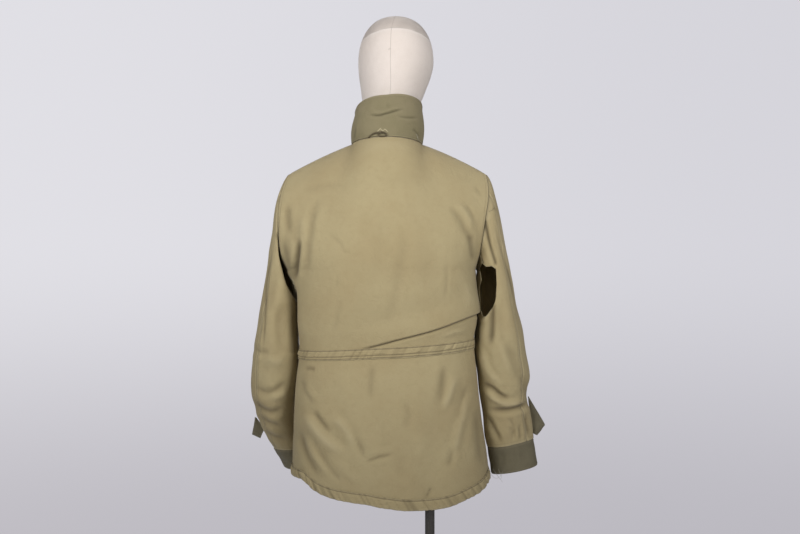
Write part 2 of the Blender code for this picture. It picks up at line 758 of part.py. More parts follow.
def make_sheet(sheet: Sheet, rip: Rip | None = None) -> bpy.types.Object:
    """Makes one cloth piece: a flat slab of two layers, laid on the sheet's surface."""
    width, length = len(sheet.columns), len(sheet.rows)
    bm = bmesh.new()
    bmesh.ops.create_grid(bm, x_segments=width - 1, y_segments=length - 1, size=0.5)
    bmesh.ops.translate(bm, verts=bm.verts, vec=(0.5, 0.5, 0.0))
    if rip:
        cut_rip(bm, rip)
    flat = bm.verts[:] + bm.edges[:] + bm.faces[:]
    bmesh.ops.solidify(bm, geom=flat, thickness=1.0)
    if sheet.closed:
        ends = [
            face
            for face in bm.faces
            if all(vert.co.x < 1e-4 for vert in face.verts)
            or all(vert.co.x > 1.0 - 1e-4 for vert in face.verts)
        ]
        bmesh.ops.delete(bm, geom=ends, context="FACES")
    for vert in bm.verts:
        across = float(np.interp(vert.co.x, np.linspace(0.0, 1.0, width), sheet.columns))
        along = float(np.interp(vert.co.y, np.linspace(0.0, 1.0, length), sheet.rows))
        depth = sheet.wall if abs(vert.co.z) > 0.5 else 0.0
        place = sheet.surface(across, along)
        vert.co = place + normal_at(sheet, across, along) * (sheet.lift - depth)
    if sheet.closed:
        bmesh.ops.remove_doubles(bm, verts=bm.verts, dist=1e-5)
    bm.normal_update()
    if bm.calc_volume(signed=True) < 0:
        bmesh.ops.reverse_faces(bm, faces=bm.faces)
    return finish_mesh(sheet.name, bm, sheet.finish)


def make_body() -> None:
    """The back and the two fronts, with the casing and the turned hem that lie on them."""
    panels = (
        ("back", back_panel, 1.0, BACK_COLUMNS),
        ("front_left", front_panel("left"), -1.0, FRONT_COLUMNS),
        ("front_right", front_panel("right"), 1.0, FRONT_COLUMNS),
    )
    levels = body_levels()
    for name, surface, facing, count in panels:
        panel = Sheet(name, surface, facing, packed(count), levels["panel"])
        make_sheet(panel)
        # the left front laps the right, so the right's strips stop before the lap
        bare = LAPPED_COLUMNS if name == "front_right" else 0
        for strip in ("hem_turn", "waist_casing"):
            laid = panel._replace(
                name=f"{strip}_{name}",
                columns=panel.columns[: count + 1 - bare],
                rows=levels[strip],
                wall=DOUBLED,
                lift=DOUBLED + LAID_GAP,
            )
            make_sheet(laid)


def make_sleeve_half(side: str, half: str, first_turn: float) -> None:
    """One cloth of a two-piece sleeve, as nodes from the armhole down to the cuff."""
    for part, (first, last) in SLEEVE_PARTS[half].items():
        rows = np.arange(first, last + 1) / SLEEVE_ROWS
        rows[0] += PART_GAP if first > 0 else 0.0
        rows[-1] -= PART_GAP if last < SLEEVE_ROWS else 0.0
        name = f"sleeve_{side}_{half}_{part}"
        surface = sleeve_piece(side, first_turn)
        rip = None
        if name == "sleeve_right_under_upper":
            share = SLEEVE_ROWS / last
            rip = UNDERARM_RIP._replace(
                along=UNDERARM_RIP.along * share, half_length=UNDERARM_RIP.half_length * share
            )
        make_sheet(Sheet(name, surface, -SIDES[side], packed(SLEEVE_COLUMNS), rows), rip)


def make_sleeves() -> None:
    """The two-piece sleeves and their cuffs."""
    half_columns = packed(SLEEVE_COLUMNS)
    cuff_columns = [*(half_columns / 2.0), *(half_columns[1:] / 2.0 + 0.5)]
    for side, sign in SIDES.items():
        make_sleeve_half(side, "top", BACK_SEAM + 180.0)
        make_sleeve_half(side, "under", BACK_SEAM)
        cuff = Sheet(
            f"cuff_{side}",
            cuff_surface(side),
            -sign,
            cuff_columns,
            np.linspace(0.0, 1.0, CUFF_ROWS + 1),
            "olive_cotton",
            DOUBLED,
            closed=True,
        )
        make_sheet(cuff)


class Wing(NamedTuple):
    """The four corners of a turned-out cuff facing, from behind: top, tip, foot and root."""

    top: tuple
    tip: tuple
    foot: tuple
    root: tuple
    y: float


WINGS = {
    "left": Wing((0.3075, 0.8420), (0.3205, 0.8010), (0.3015, 0.7925), (0.2905, 0.8170), -0.088),
    "right": Wing((-0.3038, 0.9010), (-0.3460, 0.8370), (-0.3290, 0.8140), (-0.3172, 0.8200), -0.022),
}


def wing_surface(side: str) -> Surface:
    """A turned-out facing: a small blade that curls away from the sleeve."""
    wing = WINGS[side]

    def point(across: float, along: float) -> Vector:
        inner = mix(Vector(wing.top), Vector(wing.root), along)
        outer = mix(Vector(wing.top), Vector(wing.tip), min(along * 1.35, 1.0))
        if along > 1.0 / 1.35:
            outer = mix(Vector(wing.tip), Vector(wing.foot), (along * 1.35 - 1.0) / 0.35)
        inner += Vector((SIDES[side] * 0.0035, 0.0)) * (1.0 - along)
        place = mix(inner, outer + Vector((SIDES[side] * 0.006, 0.0)) * (1.0 - along), across)
        curl = 0.007 * math.sin(math.pi * 0.8 * across) - 0.010 * across
        return Vector((place.x, wing.y + curl, place.y))

    return point


def collar_sheet() -> Sheet:
    """The standing collar."""
    columns = np.linspace(0.0, 1.0, COLLAR_COLUMNS + 1)
    rows = np.linspace(0.0, 1.0, COLLAR_ROWS + 1)
    return Sheet("collar", collar_surface, 1.0, columns, rows, "olive_cotton", DOUBLED)


def make_cuff_facings() -> None:
    """The facings that turn out above the cuffs."""
    for side, sign in SIDES.items():
        columns, rows = np.linspace(0.0, 1.0, 5), np.linspace(0.0, 1.0, 6)
        name = f"cuff_facing_{side}"
        make_sheet(Sheet(name, wing_surface(side), sign, columns, rows, "olive_cotton"))


def make_hanger_loop() -> None:
    """The cord loop that lies on the collar's foot."""
    curve = bpy.data.curves.new("hanger_loop", "CURVE")
    curve.dimensions = "3D"
    curve.bevel_depth = LOOP_RADIUS
    curve.bevel_resolution = 2
    curve.use_fill_caps = True
    spline = curve.splines.new("POLY")
    spline.points.add(len(LOOP) - 1)
    collar = collar_sheet()
    for point, knot in zip(spline.points, LOOP):
        angle = math.acos((knot.x - CENTRE_X) / NECK_HALF_WIDTH)
        first = COLLAR_OPENING - math.pi / 2.0
        across = (angle - first) / (2.0 * math.pi - 2.0 * COLLAR_OPENING)
        up = knot.height / (COLLAR_SIDE_HEIGHT + COLLAR_BACK_RISE)
        stand_off = normal_at(collar, across, up) * (LOOP_RADIUS + LAID_GAP)
        point.co = (*(collar_surface(across, up) + stand_off), 1.0)
    curve.materials.append(bpy.data.materials["olive_cotton"])
    item = bpy.data.objects.new("hanger_loop", curve)
    bpy.data.collections["field_jacket_on_dress_form"].objects.link(item)


def make_buttons() -> None:
    """Five plain buttons on the left front's edge, each resting on its highest place."""
    surface = front_panel("left")
    front = Sheet("front_left", surface, -1.0, (0.0, 1.0), (0.0, 3.0))
    for number, level in enumerate(BUTTON_LEVELS, 1):
        across = 0.935
        normal = normal_at(front, across, level)
        middle = surface(across, level)
        wide = BUTTON_RADIUS / ((surface(across + 0.01, level) - middle).length * 100.0)
        high = BUTTON_RADIUS / ((surface(across, level + 0.01) - middle).length * 100.0)
        spots = [
            surface(across + wide * math.cos(turn) * part, level + high * math.sin(turn) * part)
            for turn in np.linspace(0.0, 2.0 * math.pi, 13)
            for part in (0.5, 0.8, 1.15)
        ]
        highest = max((spot - middle).dot(normal) for spot in (middle, *spots))
        bm = bmesh.new()
        bmesh.ops.create_cone(
            bm,
            cap_ends=True,
            segments=20,
            radius1=BUTTON_RADIUS,
            radius2=BUTTON_RADIUS * 0.92,
            depth=BUTTON_THICKNESS,
        )
        turn = Vector((0, 0, 1)).rotation_difference(normal).to_matrix()
        bmesh.ops.rotate(bm, verts=bm.verts, cent=(0, 0, 0), matrix=turn)
        seat = middle + normal * (BUTTON_THICKNESS / 2.0 + LAID_GAP + highest)
        bmesh.ops.translate(bm, verts=bm.verts, vec=seat)
        finish_mesh(f"front_button_{number}", bm, "button_plastic")


def make_dress_form() -> None:
    """The limbless form: head, neck and trunk in one smooth body."""
    bm = bmesh.new()
    bmesh.ops.create_uvsphere(bm, u_segments=28, v_segments=32, radius=1.0)
    for vert in bm.verts:
        share = math.acos(max(-1.0, min(1.0, vert.co.z))) / math.pi
        angle = math.atan2(vert.co.y, vert.co.x)
        cosine, sine = math.cos(angle), math.sin(angle)
        point = read(FORM, "point", share)
        x, y = read(FORM, "x", share), read(FORM, "y", share)
        if 1e-6 < share < 1.0 - 1e-6:
            x += read(FORM, "half_width", share) * math.copysign(abs(cosine) ** point, cosine)
            y += read(FORM, "half_depth", share) * math.copysign(abs(sine) ** point, sine)
        vert.co = (x, y, read(FORM, "z", share))
    finish_mesh("dress_form", bm, "linen")


def turned(name: str, profile: tuple, x: float, finish: str) -> bpy.types.Object:
    """A turned piece: a closed profile of (radius, height) points about a vertical axis."""
    bm = bmesh.new()
    verts = [bm.verts.new((radius, 0.0, height)) for radius, height in profile]
    for first, second in zip(verts, verts[1:]):
        bm.edges.new((first, second))
    if profile[0][0] > 0:
        bm.edges.new((verts[-1], verts[0]))
    item = finish_mesh(name, bm, finish)
    item.location.x = x
    screw = item.modifiers.new("turning", "SCREW")
    screw.steps = screw.render_steps = 40
    screw.use_merge_vertices = True
    screw.merge_threshold = 0.0001
    return item


def make_stand() -> None:
    """The flange under the form, the pole, its socket and the round base."""
    turned(
        "stand_base",
        (
            (0.0, BASE_THICKNESS),
            (BASE_RADIUS - 0.004, BASE_THICKNESS),
            (BASE_RADIUS, BASE_THICKNESS - 0.004),
            (BASE_RADIUS, 0.001),
            (BASE_RADIUS - 0.001, 0.0),
            (0.0, 0.0),
        ),
        0.0,
        "painted_steel",
    )
    gap = 0.0003
    foot = BASE_THICKNESS + gap
    top = FORM_BOTTOM - gap - FLANGE_THICKNESS - gap
    turned(
        "stand_pole",
        ((0.0, top), (POLE_RADIUS, top), (POLE_RADIUS, foot), (0.0, foot)),
        POLE_X,
        "painted_steel",
    )
    bore = POLE_RADIUS + gap
    turned(
        "pole_socket",
        (
            (bore, foot + SOCKET_HEIGHT),
            (SOCKET_RADIUS - 0.004, foot + SOCKET_HEIGHT),
            (SOCKET_RADIUS, foot + SOCKET_HEIGHT - 0.004),
            (SOCKET_RADIUS, foot),
            (bore, foot),
        ),
        POLE_X,
        "painted_steel",
    )
    under = FORM_BOTTOM - gap
    turned(
        "form_flange",
        (
            (0.0, under),
            (FLANGE_RADIUS, under),
            (FLANGE_RADIUS, under - FLANGE_THICKNESS),
            (0.0, under - FLANGE_THICKNESS),
        ),
        POLE_X,
        "painted_steel",
    )


def make_finishes() -> None:
    """One plain material for each kind of cloth or metal."""
    for name, (colour, roughness, metallic) in FINISHES.items():
        material = bpy.data.materials.new(name)
        material.use_nodes = True
        shader = material.node_tree.nodes["Principled BSDF"]
        shader.inputs["Base Color"].default_value = colour
        shader.inputs["Roughness"].default_value = roughness
        shader.inputs["Metallic"].default_value = metallic


def main() -> None:
    """Clears the scene and builds the jacket, the form and the stand."""
    for item in list(bpy.data.objects):
        bpy.data.objects.remove(item, do_unlink=True)
    collection = bpy.data.collections.new("field_jacket_on_dress_form")
    bpy.context.scene.collection.children.link(collection)
    make_finishes()
    make_body()
    make_sleeves()
    make_sheet(collar_sheet())
    make_hanger_loop()
    make_cuff_facings()
    make_buttons()
    make_dress_form()
    make_stand()


main()
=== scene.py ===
"""Field jacket, turned inside out, worn by a limbless dress form on its stand.

Units are metres and +Z is up. The jacket's back faces +Y and the wearer's left side is +X.
Every cloth piece is a fine grid laid on a smooth surface that is worked out from the jacket's
sizes. Creases, puckers and rolled edges move it along that surface's own normal.
"""

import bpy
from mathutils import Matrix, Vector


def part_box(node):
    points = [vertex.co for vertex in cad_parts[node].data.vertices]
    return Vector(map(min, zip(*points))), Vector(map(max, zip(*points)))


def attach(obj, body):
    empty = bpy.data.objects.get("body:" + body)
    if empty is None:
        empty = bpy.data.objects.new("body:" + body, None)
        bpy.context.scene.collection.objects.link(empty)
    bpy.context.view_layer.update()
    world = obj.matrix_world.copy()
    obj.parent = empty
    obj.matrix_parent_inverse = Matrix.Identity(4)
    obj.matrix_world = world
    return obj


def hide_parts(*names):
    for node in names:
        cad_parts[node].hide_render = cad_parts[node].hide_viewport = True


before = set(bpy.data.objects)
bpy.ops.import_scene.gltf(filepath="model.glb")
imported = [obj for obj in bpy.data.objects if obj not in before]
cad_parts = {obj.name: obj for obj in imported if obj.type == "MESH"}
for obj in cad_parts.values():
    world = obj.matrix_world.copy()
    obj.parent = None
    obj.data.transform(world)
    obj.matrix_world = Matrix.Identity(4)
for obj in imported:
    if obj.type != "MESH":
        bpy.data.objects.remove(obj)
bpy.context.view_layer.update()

import logging
import math
from dataclasses import dataclass, field
from enum import Enum
from functools import cached_property

import bmesh
import bpy
import numpy as np
from mathutils import Matrix, Vector

LOG = logging.getLogger("field_jacket")
Array = np.ndarray
Line = tuple[tuple[float, float], ...]


class Side(Enum):
    """The wearer's sides, with the way each one lies along X."""

    LEFT = 1.0
    RIGHT = -1.0

    @property
    def label(self) -> str:
        """The side's name in the names of pieces."""
        return self.name.lower()


class Held(Enum):
    """How a sheet of cloth is held in its shape."""

    HUNG = "hung"
    FOLDED = "folded"


# --- Arithmetic on whole arrays ---------------------------------------------------------------
def ease(part: Array) -> Array:
    """A smooth step from 0 to 1."""
    part = np.clip(part, 0.0, 1.0)
    return part * part * (3.0 - 2.0 * part)


def mix(first: Array, second: Array, part: Array) -> Array:
    """The value between two others."""
    return first + (second - first) * part


def points(x: Array, y: Array, z: Array) -> Array:
    """Rows of three coordinates."""
    return np.stack(np.broadcast_arrays(x, y, z), axis=-1).astype(float)


def unit(rows: Array) -> Array:
    """Rows scaled to a length of one."""
    return rows / np.maximum(np.linalg.norm(rows, axis=-1, keepdims=True), 1e-12)


def bezier(corners: tuple[Array, ...], part: Array) -> Array:
    """Points of cubic curves.

    Args:
        corners: The four control points of each curve.
        part: How far along each curve the point lies, from 0 to 1.

    Returns:
        One point for each curve.
    """
    part = part[:, None]
    rest = 1.0 - part
    weights = (rest**3, 3 * rest**2 * part, 3 * rest * part**2, part**3)
    return sum(corner * weight for corner, weight in zip(corners, weights))


def spaced(length: float, step: float, rim: float = 0.0012) -> Array:
    """Even places along a cloth's side, with one more close to each end.

    Args:
        length: The side's length in metres.
        step: The distance between places in metres.
        rim: How far the extra places stand from the ends.

    Returns:
        Places from 0 to 1.
    """
    inner = np.linspace(0.0, 1.0, max(int(round(length / step)), 2) + 1)[1:-1]
    rim /= length
    return np.array([0.0, rim, *inner, 1.0 - rim, 1.0])


def rounded(line: Line, count: int = 6) -> Array:
    """A smooth path through a line's points.

    Args:
        line: The line's points.
        count: How many places each stretch between two points gets.

    Returns:
        Points of the path.
    """
    knots = np.array(line, float)
    if len(knots) == 2:
        return knots
    padded = np.vstack((2 * knots[0] - knots[1], knots, 2 * knots[-1] - knots[-2]))
    path = []
    for a, b, c, d in zip(padded, padded[1:], padded[2:], padded[3:]):
        for t in np.arange(count) / count:
            path.append(
                0.5
                * (
                    2 * b
                    + (c - a) * t
                    + (2 * a - 5 * b + 4 * c - d) * t**2
                    + (3 * b - a - 3 * c + d) * t**3
                )
            )
    return np.array([*path, knots[-1]])


@dataclass(frozen=True)
class Table:
    """Rows of numbers, read as smooth curves against their first column.

    around is for a table whose first column is a turn in degrees and whose rows close.
    """

    columns: tuple[str, ...]
    rows: tuple[tuple[float, ...], ...]
    around: bool = False

    def read(self, column: str, place: Array) -> Array:
        """Reads one column.

        Args:
            column: The column's name.
            place: Where to read it, in the first column's units.

        Returns:
            The smooth curve's values there.
        """
        rows, place = np.array(self.rows, float), np.asarray(place, float)
        if self.around:
            before, after = rows[-2:].copy(), rows[:2].copy()
            before[:, 0] -= 360.0
            after[:, 0] += 360.0
            rows, place = np.vstack((before, rows, after)), np.mod(place, 360.0)
        stations, values = rows[:, 0], rows[:, self.columns.index(column)]
        slopes = np.gradient(values, stations)
        index = np.clip(np.searchsorted(stations, place) - 1, 0, len(stations) - 2)
        span = stations[index + 1] - stations[index]
        part = np.clip((place - stations[index]) / span, 0.0, 1.0)
        squared, cubed = part**2, part**3
        return (
            (2 * cubed - 3 * squared + 1) * values[index]
            + (cubed - 2 * squared + part) * span * slopes[index]
            + (3 * squared - 2 * cubed) * values[index + 1]
            + (cubed - squared) * span * slopes[index + 1]
        )


@dataclass(frozen=True)
class Ripple:
    """A repeatable run of uneven swells along a line, from -1 to 1."""

    seed: int
    pitch: float

    def at(self, run: Array) -> Array:
        """The swell at each place of a run.

        Args:
            run: Distances along the line, in metres.

        Returns:
            A swell for each distance.
        """
        values = np.random.default_rng(self.seed).uniform(-1.0, 1.0, 1024)
        step = np.asarray(run) / self.pitch
        index = np.floor(step).astype(int)
        return mix(values[index % 1024], values[(index + 1) % 1024], ease(step - index))


@dataclass(frozen=True)
class Dents:
    """Soft uneven dents all over a surface, mostly between -1 and 1."""

    seed: int
    size: float
    stretch: tuple[float, float, float] = (1.0, 1.0, 1.0)

    def at(self, place: Array) -> Array:
        """The dent at each point of a surface.

        Args:
            place: Points of the surface.

        Returns:
            A dent for each point.
        """
        rng = np.random.default_rng(self.seed)
        total = np.zeros(len(place))
        for _ in range(18):
            way = rng.normal(size=3)
            way *= np.array(self.stretch) / np.linalg.norm(way)
            length = self.size * rng.uniform(0.7, 1.9)
            total += np.sin(place @ way * (2.0 * math.pi / length) + rng.uniform(0.0, 6.3))
        return total / 4.2


# --- Sights: the two ways from which creases are placed ---------------------------------------
@dataclass(frozen=True)
class Lens:
    """The camera behind the jacket, level, which looks along -Y."""

    x: float = -0.0224
    y: float = 1.712
    z: float = 1.19
    focal: float = 777.8
    width: int = 800
    height: int = 534

    def seen(self, place: Array) -> Array:
        """Where points stand in the camera's frame, across and down.

        Args:
            place: Points of the jacket.

        Returns:
            A place across and down the frame for each point.
        """
        reach = self.focal / (self.y - place[:, 1])
        across = self.width / 2 + reach * (self.x - place[:, 0])
        return np.stack((across, self.height / 2 - reach * (place[:, 2] - self.z)), axis=-1)

    def facing(self, normal: Array) -> Array:
        """How much a surface shows to this sight."""
        return ease((normal[:, 1] + 0.15) / 0.35)

    def at_depth(self, spots: Array, depth: float) -> Array:
        """The points that spots of the frame show at a distance along Y.

        Args:
            spots: Places across and down the frame.
            depth: Where the points lie along Y.

        Returns:
            One point for each spot.
        """
        reach = (self.y - depth) / self.focal
        across = self.x - (spots[:, 0] - self.width / 2) * reach
        return points(across, depth, self.z - (spots[:, 1] - self.height / 2) * reach)


@dataclass(frozen=True)
class FrontSight:
    """The jacket seen straight from its front, in units of 2 mm across and down."""

    unit_size: float = 0.002

    def seen(self, place: Array) -> Array:
        """Where points stand, across and down."""
        return np.stack((place[:, 0], -place[:, 2]), axis=-1) / self.unit_size

    def facing(self, normal: Array) -> Array:
        """How much a surface shows to this sight."""
        return ease((0.15 - normal[:, 1]) / 0.35)


LENS, FRONT_SIGHT = Lens(), FrontSight()


@dataclass(frozen=True)
class Crease:
    """A trough or ridge along a line, in the units of the sight that it is placed by.

    height is in metres, out when positive. above and below are how wide it is on each side
    of a line that runs to the right. open_start and open_end are ends that don't fade.
    grime is the strength of the shade painted along the line, from 0 to 1,
    or of the light painted there where it is below 0, and then how wide that lies.
    """

    line: Line
    height: float
    above: float
    below: float
    open_start: bool = False
    open_end: bool = False
    grime: tuple[float, float] = (0.0, 1.0)

    def lift(self, seen: Array, painting: bool = False) -> Array:
        """How far the crease moves the cloth, unless the shade and light painted along it are asked for.

        Args:
            seen: Points in the sight's units.
            painting: Whether the painted shade and light are asked for.

        Returns:
            A distance in metres for each point; when painting, painted shade from 0 to 1 and painted
            light below 0.
        """
        path = rounded(self.line)
        reach = 3.2 * max(self.above, self.below)
        near = np.all((seen > path.min(0) - reach) & (seen < path.max(0) + reach), axis=1)
        total = np.zeros(len(seen))
        if not near.any():
            return total
        runs = np.diff(path, axis=0)
        lengths = np.linalg.norm(runs, axis=1)
        travelled = np.concatenate(([0.0], np.cumsum(lengths)))
        away = seen[near][:, None] - path[None, :-1]
        part = np.clip((away * runs).sum(-1) / lengths**2, 0.0, 1.0)
        distance = np.linalg.norm(away - part[..., None] * runs, axis=-1)
        best = distance.argmin(1)
        row = np.arange(len(best))
        run, off = runs[best], away[row, best]
        side = run[:, 0] * off[:, 1] - run[:, 1] * off[:, 0]
        place = (travelled[best] + part[row, best] * lengths[best]) / travelled[-1]
        fade = ease(place / 0.3 + self.open_start) * ease((1.0 - place) / 0.3 + self.open_end)
        # painted shade along the line, and painted light where its strength is below 0
        if painting:
            strength, width = self.grime
            total[near] = strength * fade * np.exp(-((distance[row, best] / width) ** 2))
            return total
        offset = distance[row, best] / np.where(side < 0, self.above, self.below)
        swell = np.exp(-(offset**2)) - 0.22 * np.exp(-1.4 * (offset - 2.0) ** 2)
        total[near] = self.height * fade * swell
        return total


@dataclass(frozen=True)
class Creases:
    """All the creases that are placed by one sight."""

    sight: Lens | FrontSight
    items: tuple[Crease, ...]

    def lift(self, place: Array, normal: Array) -> Array:
        """How far the creases move the cloth at points with these normals.

        Args:
            place: Points of the smooth surface.
            normal: The surface's normals there.

        Returns:
            A distance in metres for each point.
        """
        seen = self.sight.seen(place)
        total = sum((item.lift(seen) for item in self.items), np.zeros(len(place)))
        return total * self.sight.facing(normal)

    def dirt(self, place: Array, normal: Array) -> Array:
        """The shade painted along the creases at points with these normals, with painted light below 0.

        Args:
            place: Points of the smooth surface.
            normal: The surface's normals there.

        Returns:
            Painted shade for each point, below 0 where light is painted.
        """
        seen, total = self.sight.seen(place), np.zeros(len(place))
        for item in self.items:
            if item.grime[0]:
                total += item.lift(seen, painting=True)
        return total * self.sight.facing(normal)


# --- Tables of the jacket's sizes -------------------------------------------------------------
BODY_REACH = Table(
    ("level", "left", "right", "back", "front"),
    (
        (0.0, 0.2070, 0.2250, 0.142, 0.150),
        (0.2, 0.2060, 0.2180, 0.139, 0.148),
        (0.4, 0.2040, 0.2090, 0.134, 0.143),
        (0.6, 0.2010, 0.2015, 0.128, 0.137),
        (0.8, 0.1972, 0.1960, 0.121, 0.130),
        (1.0, 0.1915, 0.1905, 0.113, 0.124),
        (1.3, 0.1935, 0.1965, 0.121, 0.131),
        (1.6, 0.1950, 0.2000, 0.129, 0.137),
        (2.0, 0.1950, 0.1946, 0.135, 0.141),
    ),
)
HEM_HEIGHT = Table(
    ("turn", "z"),
    (
        *((0, 0.7420), (12, 0.7430), (26, 0.7460), (37, 0.7455), (47, 0.7320)),
        *((62, 0.7185), (75, 0.7128), (83, 0.7093), (89, 0.7035), (95, 0.6985)),
        *((107, 0.6965), (115, 0.6981), (123, 0.7017), (130, 0.7072), (139, 0.7136)),
        *((150, 0.7200), (163, 0.7300), (180, 0.7310), (225, 0.7200), (270, 0.7160)),
        (315, 0.7290),
    ),
    around=True,
)
ARMHOLE = {
    Side.LEFT: Table(
        ("turn", "x", "y", "z"),
        (
            (0, 0.2198, 0.000, 1.3945),
            (45, 0.2335, 0.036, 1.350),
            (90, 0.2370, 0.055, 1.285),
            (135, 0.2350, 0.041, 1.218),
            (180, 0.2270, 0.000, 1.185),
            (225, 0.2310, -0.045, 1.213),
            (270, 0.2300, -0.066, 1.280),
            (315, 0.2280, -0.043, 1.350),
        ),
        around=True,
    ),
    Side.RIGHT: Table(
        ("turn", "x", "y", "z"),
        (
            (0, -0.2108, 0.000, 1.3940),
            (45, -0.2135, 0.037, 1.350),
            (90, -0.2045, 0.056, 1.292),
            (135, -0.1950, 0.041, 1.226),
            (180, -0.1880, 0.000, 1.185),
            (225, -0.1940, -0.045, 1.220),
            (270, -0.2040, -0.066, 1.290),
            (315, -0.2130, -0.043, 1.350),
        ),
        around=True,
    ),
}
TORN_SEAM = {
    Side.LEFT: Table(
        ("turn", "out", "down"),
        (
            (0, 0.0, 0.0),
            (96, 0.0, 0.0),
            (108, 0.0004, 0.0014),
            (120, 0.0012, 0.0140),
            (135, -0.0020, 0.0380),
            (158, -0.0140, 0.0550),
            (180, -0.0190, 0.0580),
            (196, -0.0070, 0.0140),
            (215, 0.0, 0.0),
            (245, 0.0, 0.0),
            (315, 0.0, 0.0),
        ),
        around=True,
    ),
    Side.RIGHT: Table(
        ("turn", "out", "down"), ((0, 0.0, 0.0), (180, 0.0, 0.0), (270, 0.0, 0.0)), around=True
    ),
}
SHOULDER_SHARE = 0.32525
YOKE = Table(
    ("share", "reach", "drop"),
    (
        (0.00, 0.040, 0.008),
        (0.10, 0.050, 0.006),
        (0.22, 0.064, 0.006),
        (SHOULDER_SHARE, 0.070, 0.010),
        (0.40, 0.050, 0.030),
        (0.50, 0.036, 0.046),
    ),
)
HOOPS = {
    Side.LEFT: Table(
        ("station", "z", "outer", "inner", "y", "half_depth"),
        (
            (0.00, 1.110, 0.2835, 0.2035, -0.012, 0.064),
            (0.18, 1.050, 0.2957, 0.2030, -0.018, 0.065),
            (0.33, 1.000, 0.3035, 0.2025, -0.022, 0.063),
            (0.47, 0.950, 0.3090, 0.2060, -0.030, 0.060),
            (0.62, 0.900, 0.3100, 0.2130, -0.040, 0.056),
            (0.74, 0.860, 0.3030, 0.2165, -0.058, 0.052),
            (0.86, 0.820, 0.2920, 0.2130, -0.078, 0.048),
            (0.95, 0.790, 0.2820, 0.2080, -0.096, 0.046),
            (1.00, 0.772, 0.2730, 0.2030, -0.106, 0.045),
            (1.16, 0.723, 0.2500, 0.1870, -0.124, 0.044),
        ),
    ),
    Side.RIGHT: Table(
        ("station", "z", "outer", "inner", "y", "half_depth"),
        (
            (0.00, 1.160, -0.2685, -0.1900, -0.005, 0.064),
            (0.17, 1.100, -0.2802, -0.1926, -0.006, 0.065),
            (0.31, 1.050, -0.2929, -0.1884, -0.008, 0.065),
            (0.46, 1.000, -0.3015, -0.1880, -0.010, 0.063),
            (0.60, 0.950, -0.3097, -0.1940, -0.012, 0.060),
            (0.74, 0.900, -0.3041, -0.2000, -0.014, 0.052),
            (0.86, 0.860, -0.3110, -0.2070, -0.016, 0.043),
            (0.95, 0.822, -0.3165, -0.2110, -0.018, 0.036),
            (1.00, 0.801, -0.3190, -0.2165, -0.020, 0.032),
            (1.16, 0.742, -0.3285, -0.2255, -0.020, 0.031),
        ),
    ),
}
FORM = Table(
    ("share", "z", "half_width", "half_depth", "x", "y", "point"),
    (
        (0.00000, 1.7403, 0.0000, 0.0000, -0.0136, -0.018, 1.0),
        (0.04000, 1.7365, 0.0300, 0.0350, -0.0136, -0.018, 1.0),
        (0.08000, 1.7250, 0.0520, 0.0620, -0.0136, -0.018, 1.0),
        (0.12000, 1.7070, 0.0675, 0.0800, -0.0136, -0.018, 1.0),
        (0.16000, 1.6850, 0.0775, 0.0920, -0.0136, -0.018, 1.0),
        (0.20000, 1.6600, 0.0826, 0.0970, -0.0134, -0.018, 1.0),
        (0.24000, 1.6350, 0.0830, 0.0970, -0.0130, -0.018, 1.0),
        (0.28000, 1.6100, 0.0790, 0.0940, -0.0110, -0.018, 1.0),
        (0.32000, 1.5850, 0.0725, 0.0880, -0.0080, -0.018, 1.0),
        (0.36000, 1.5620, 0.0665, 0.0780, -0.0050, -0.016, 1.0),
        (0.40000, 1.5400, 0.0600, 0.0670, -0.0020, -0.014, 1.0),
        (0.44000, 1.5150, 0.0555, 0.0580, 0.0010, -0.010, 1.0),
        (0.50000, 1.4790, 0.0590, 0.0550, 0.0050, -0.007, 1.0),
        (0.53125, 1.4610, 0.0680, 0.0500, 0.0066, -0.007, 1.1),
        (0.56250, 1.4511, 0.0795, 0.0440, 0.0066, -0.007, 1.2),
        (0.59375, 1.4371, 0.1055, 0.0405, 0.0066, -0.007, 1.2),
        (0.62500, 1.4201, 0.1600, 0.0470, 0.0066, -0.006, 1.2),
        (0.65625, 1.3970, 0.1870, 0.0550, 0.0066, -0.004, 1.2),
        (0.68750, 1.3600, 0.1945, 0.0690, 0.0066, -0.001, 1.1),
        (0.71875, 1.3190, 0.1940, 0.0820, 0.0066, 0.000, 1.0),
        (0.75000, 1.2740, 0.1870, 0.0940, 0.0066, 0.000, 1.0),
        (0.78000, 1.2200, 0.1740, 0.1030, 0.0066, 0.000, 1.0),
        (0.82000, 1.1400, 0.1570, 0.1030, 0.0066, -0.002, 1.0),
        (0.86000, 1.0500, 0.1420, 0.0890, 0.0066, -0.004, 1.0),
        (0.90000, 0.9500, 0.1480, 0.0960, 0.0066, -0.002, 1.0),
        (0.93750, 0.8300, 0.1620, 0.1060, 0.0066, 0.000, 1.0),
        (0.96875, 0.8000, 0.1540, 0.0980, 0.0066, 0.000, 1.0),
        (1.00000, 0.8000, 0.0000, 0.0000, 0.0066, 0.000, 1.0),
    ),
)


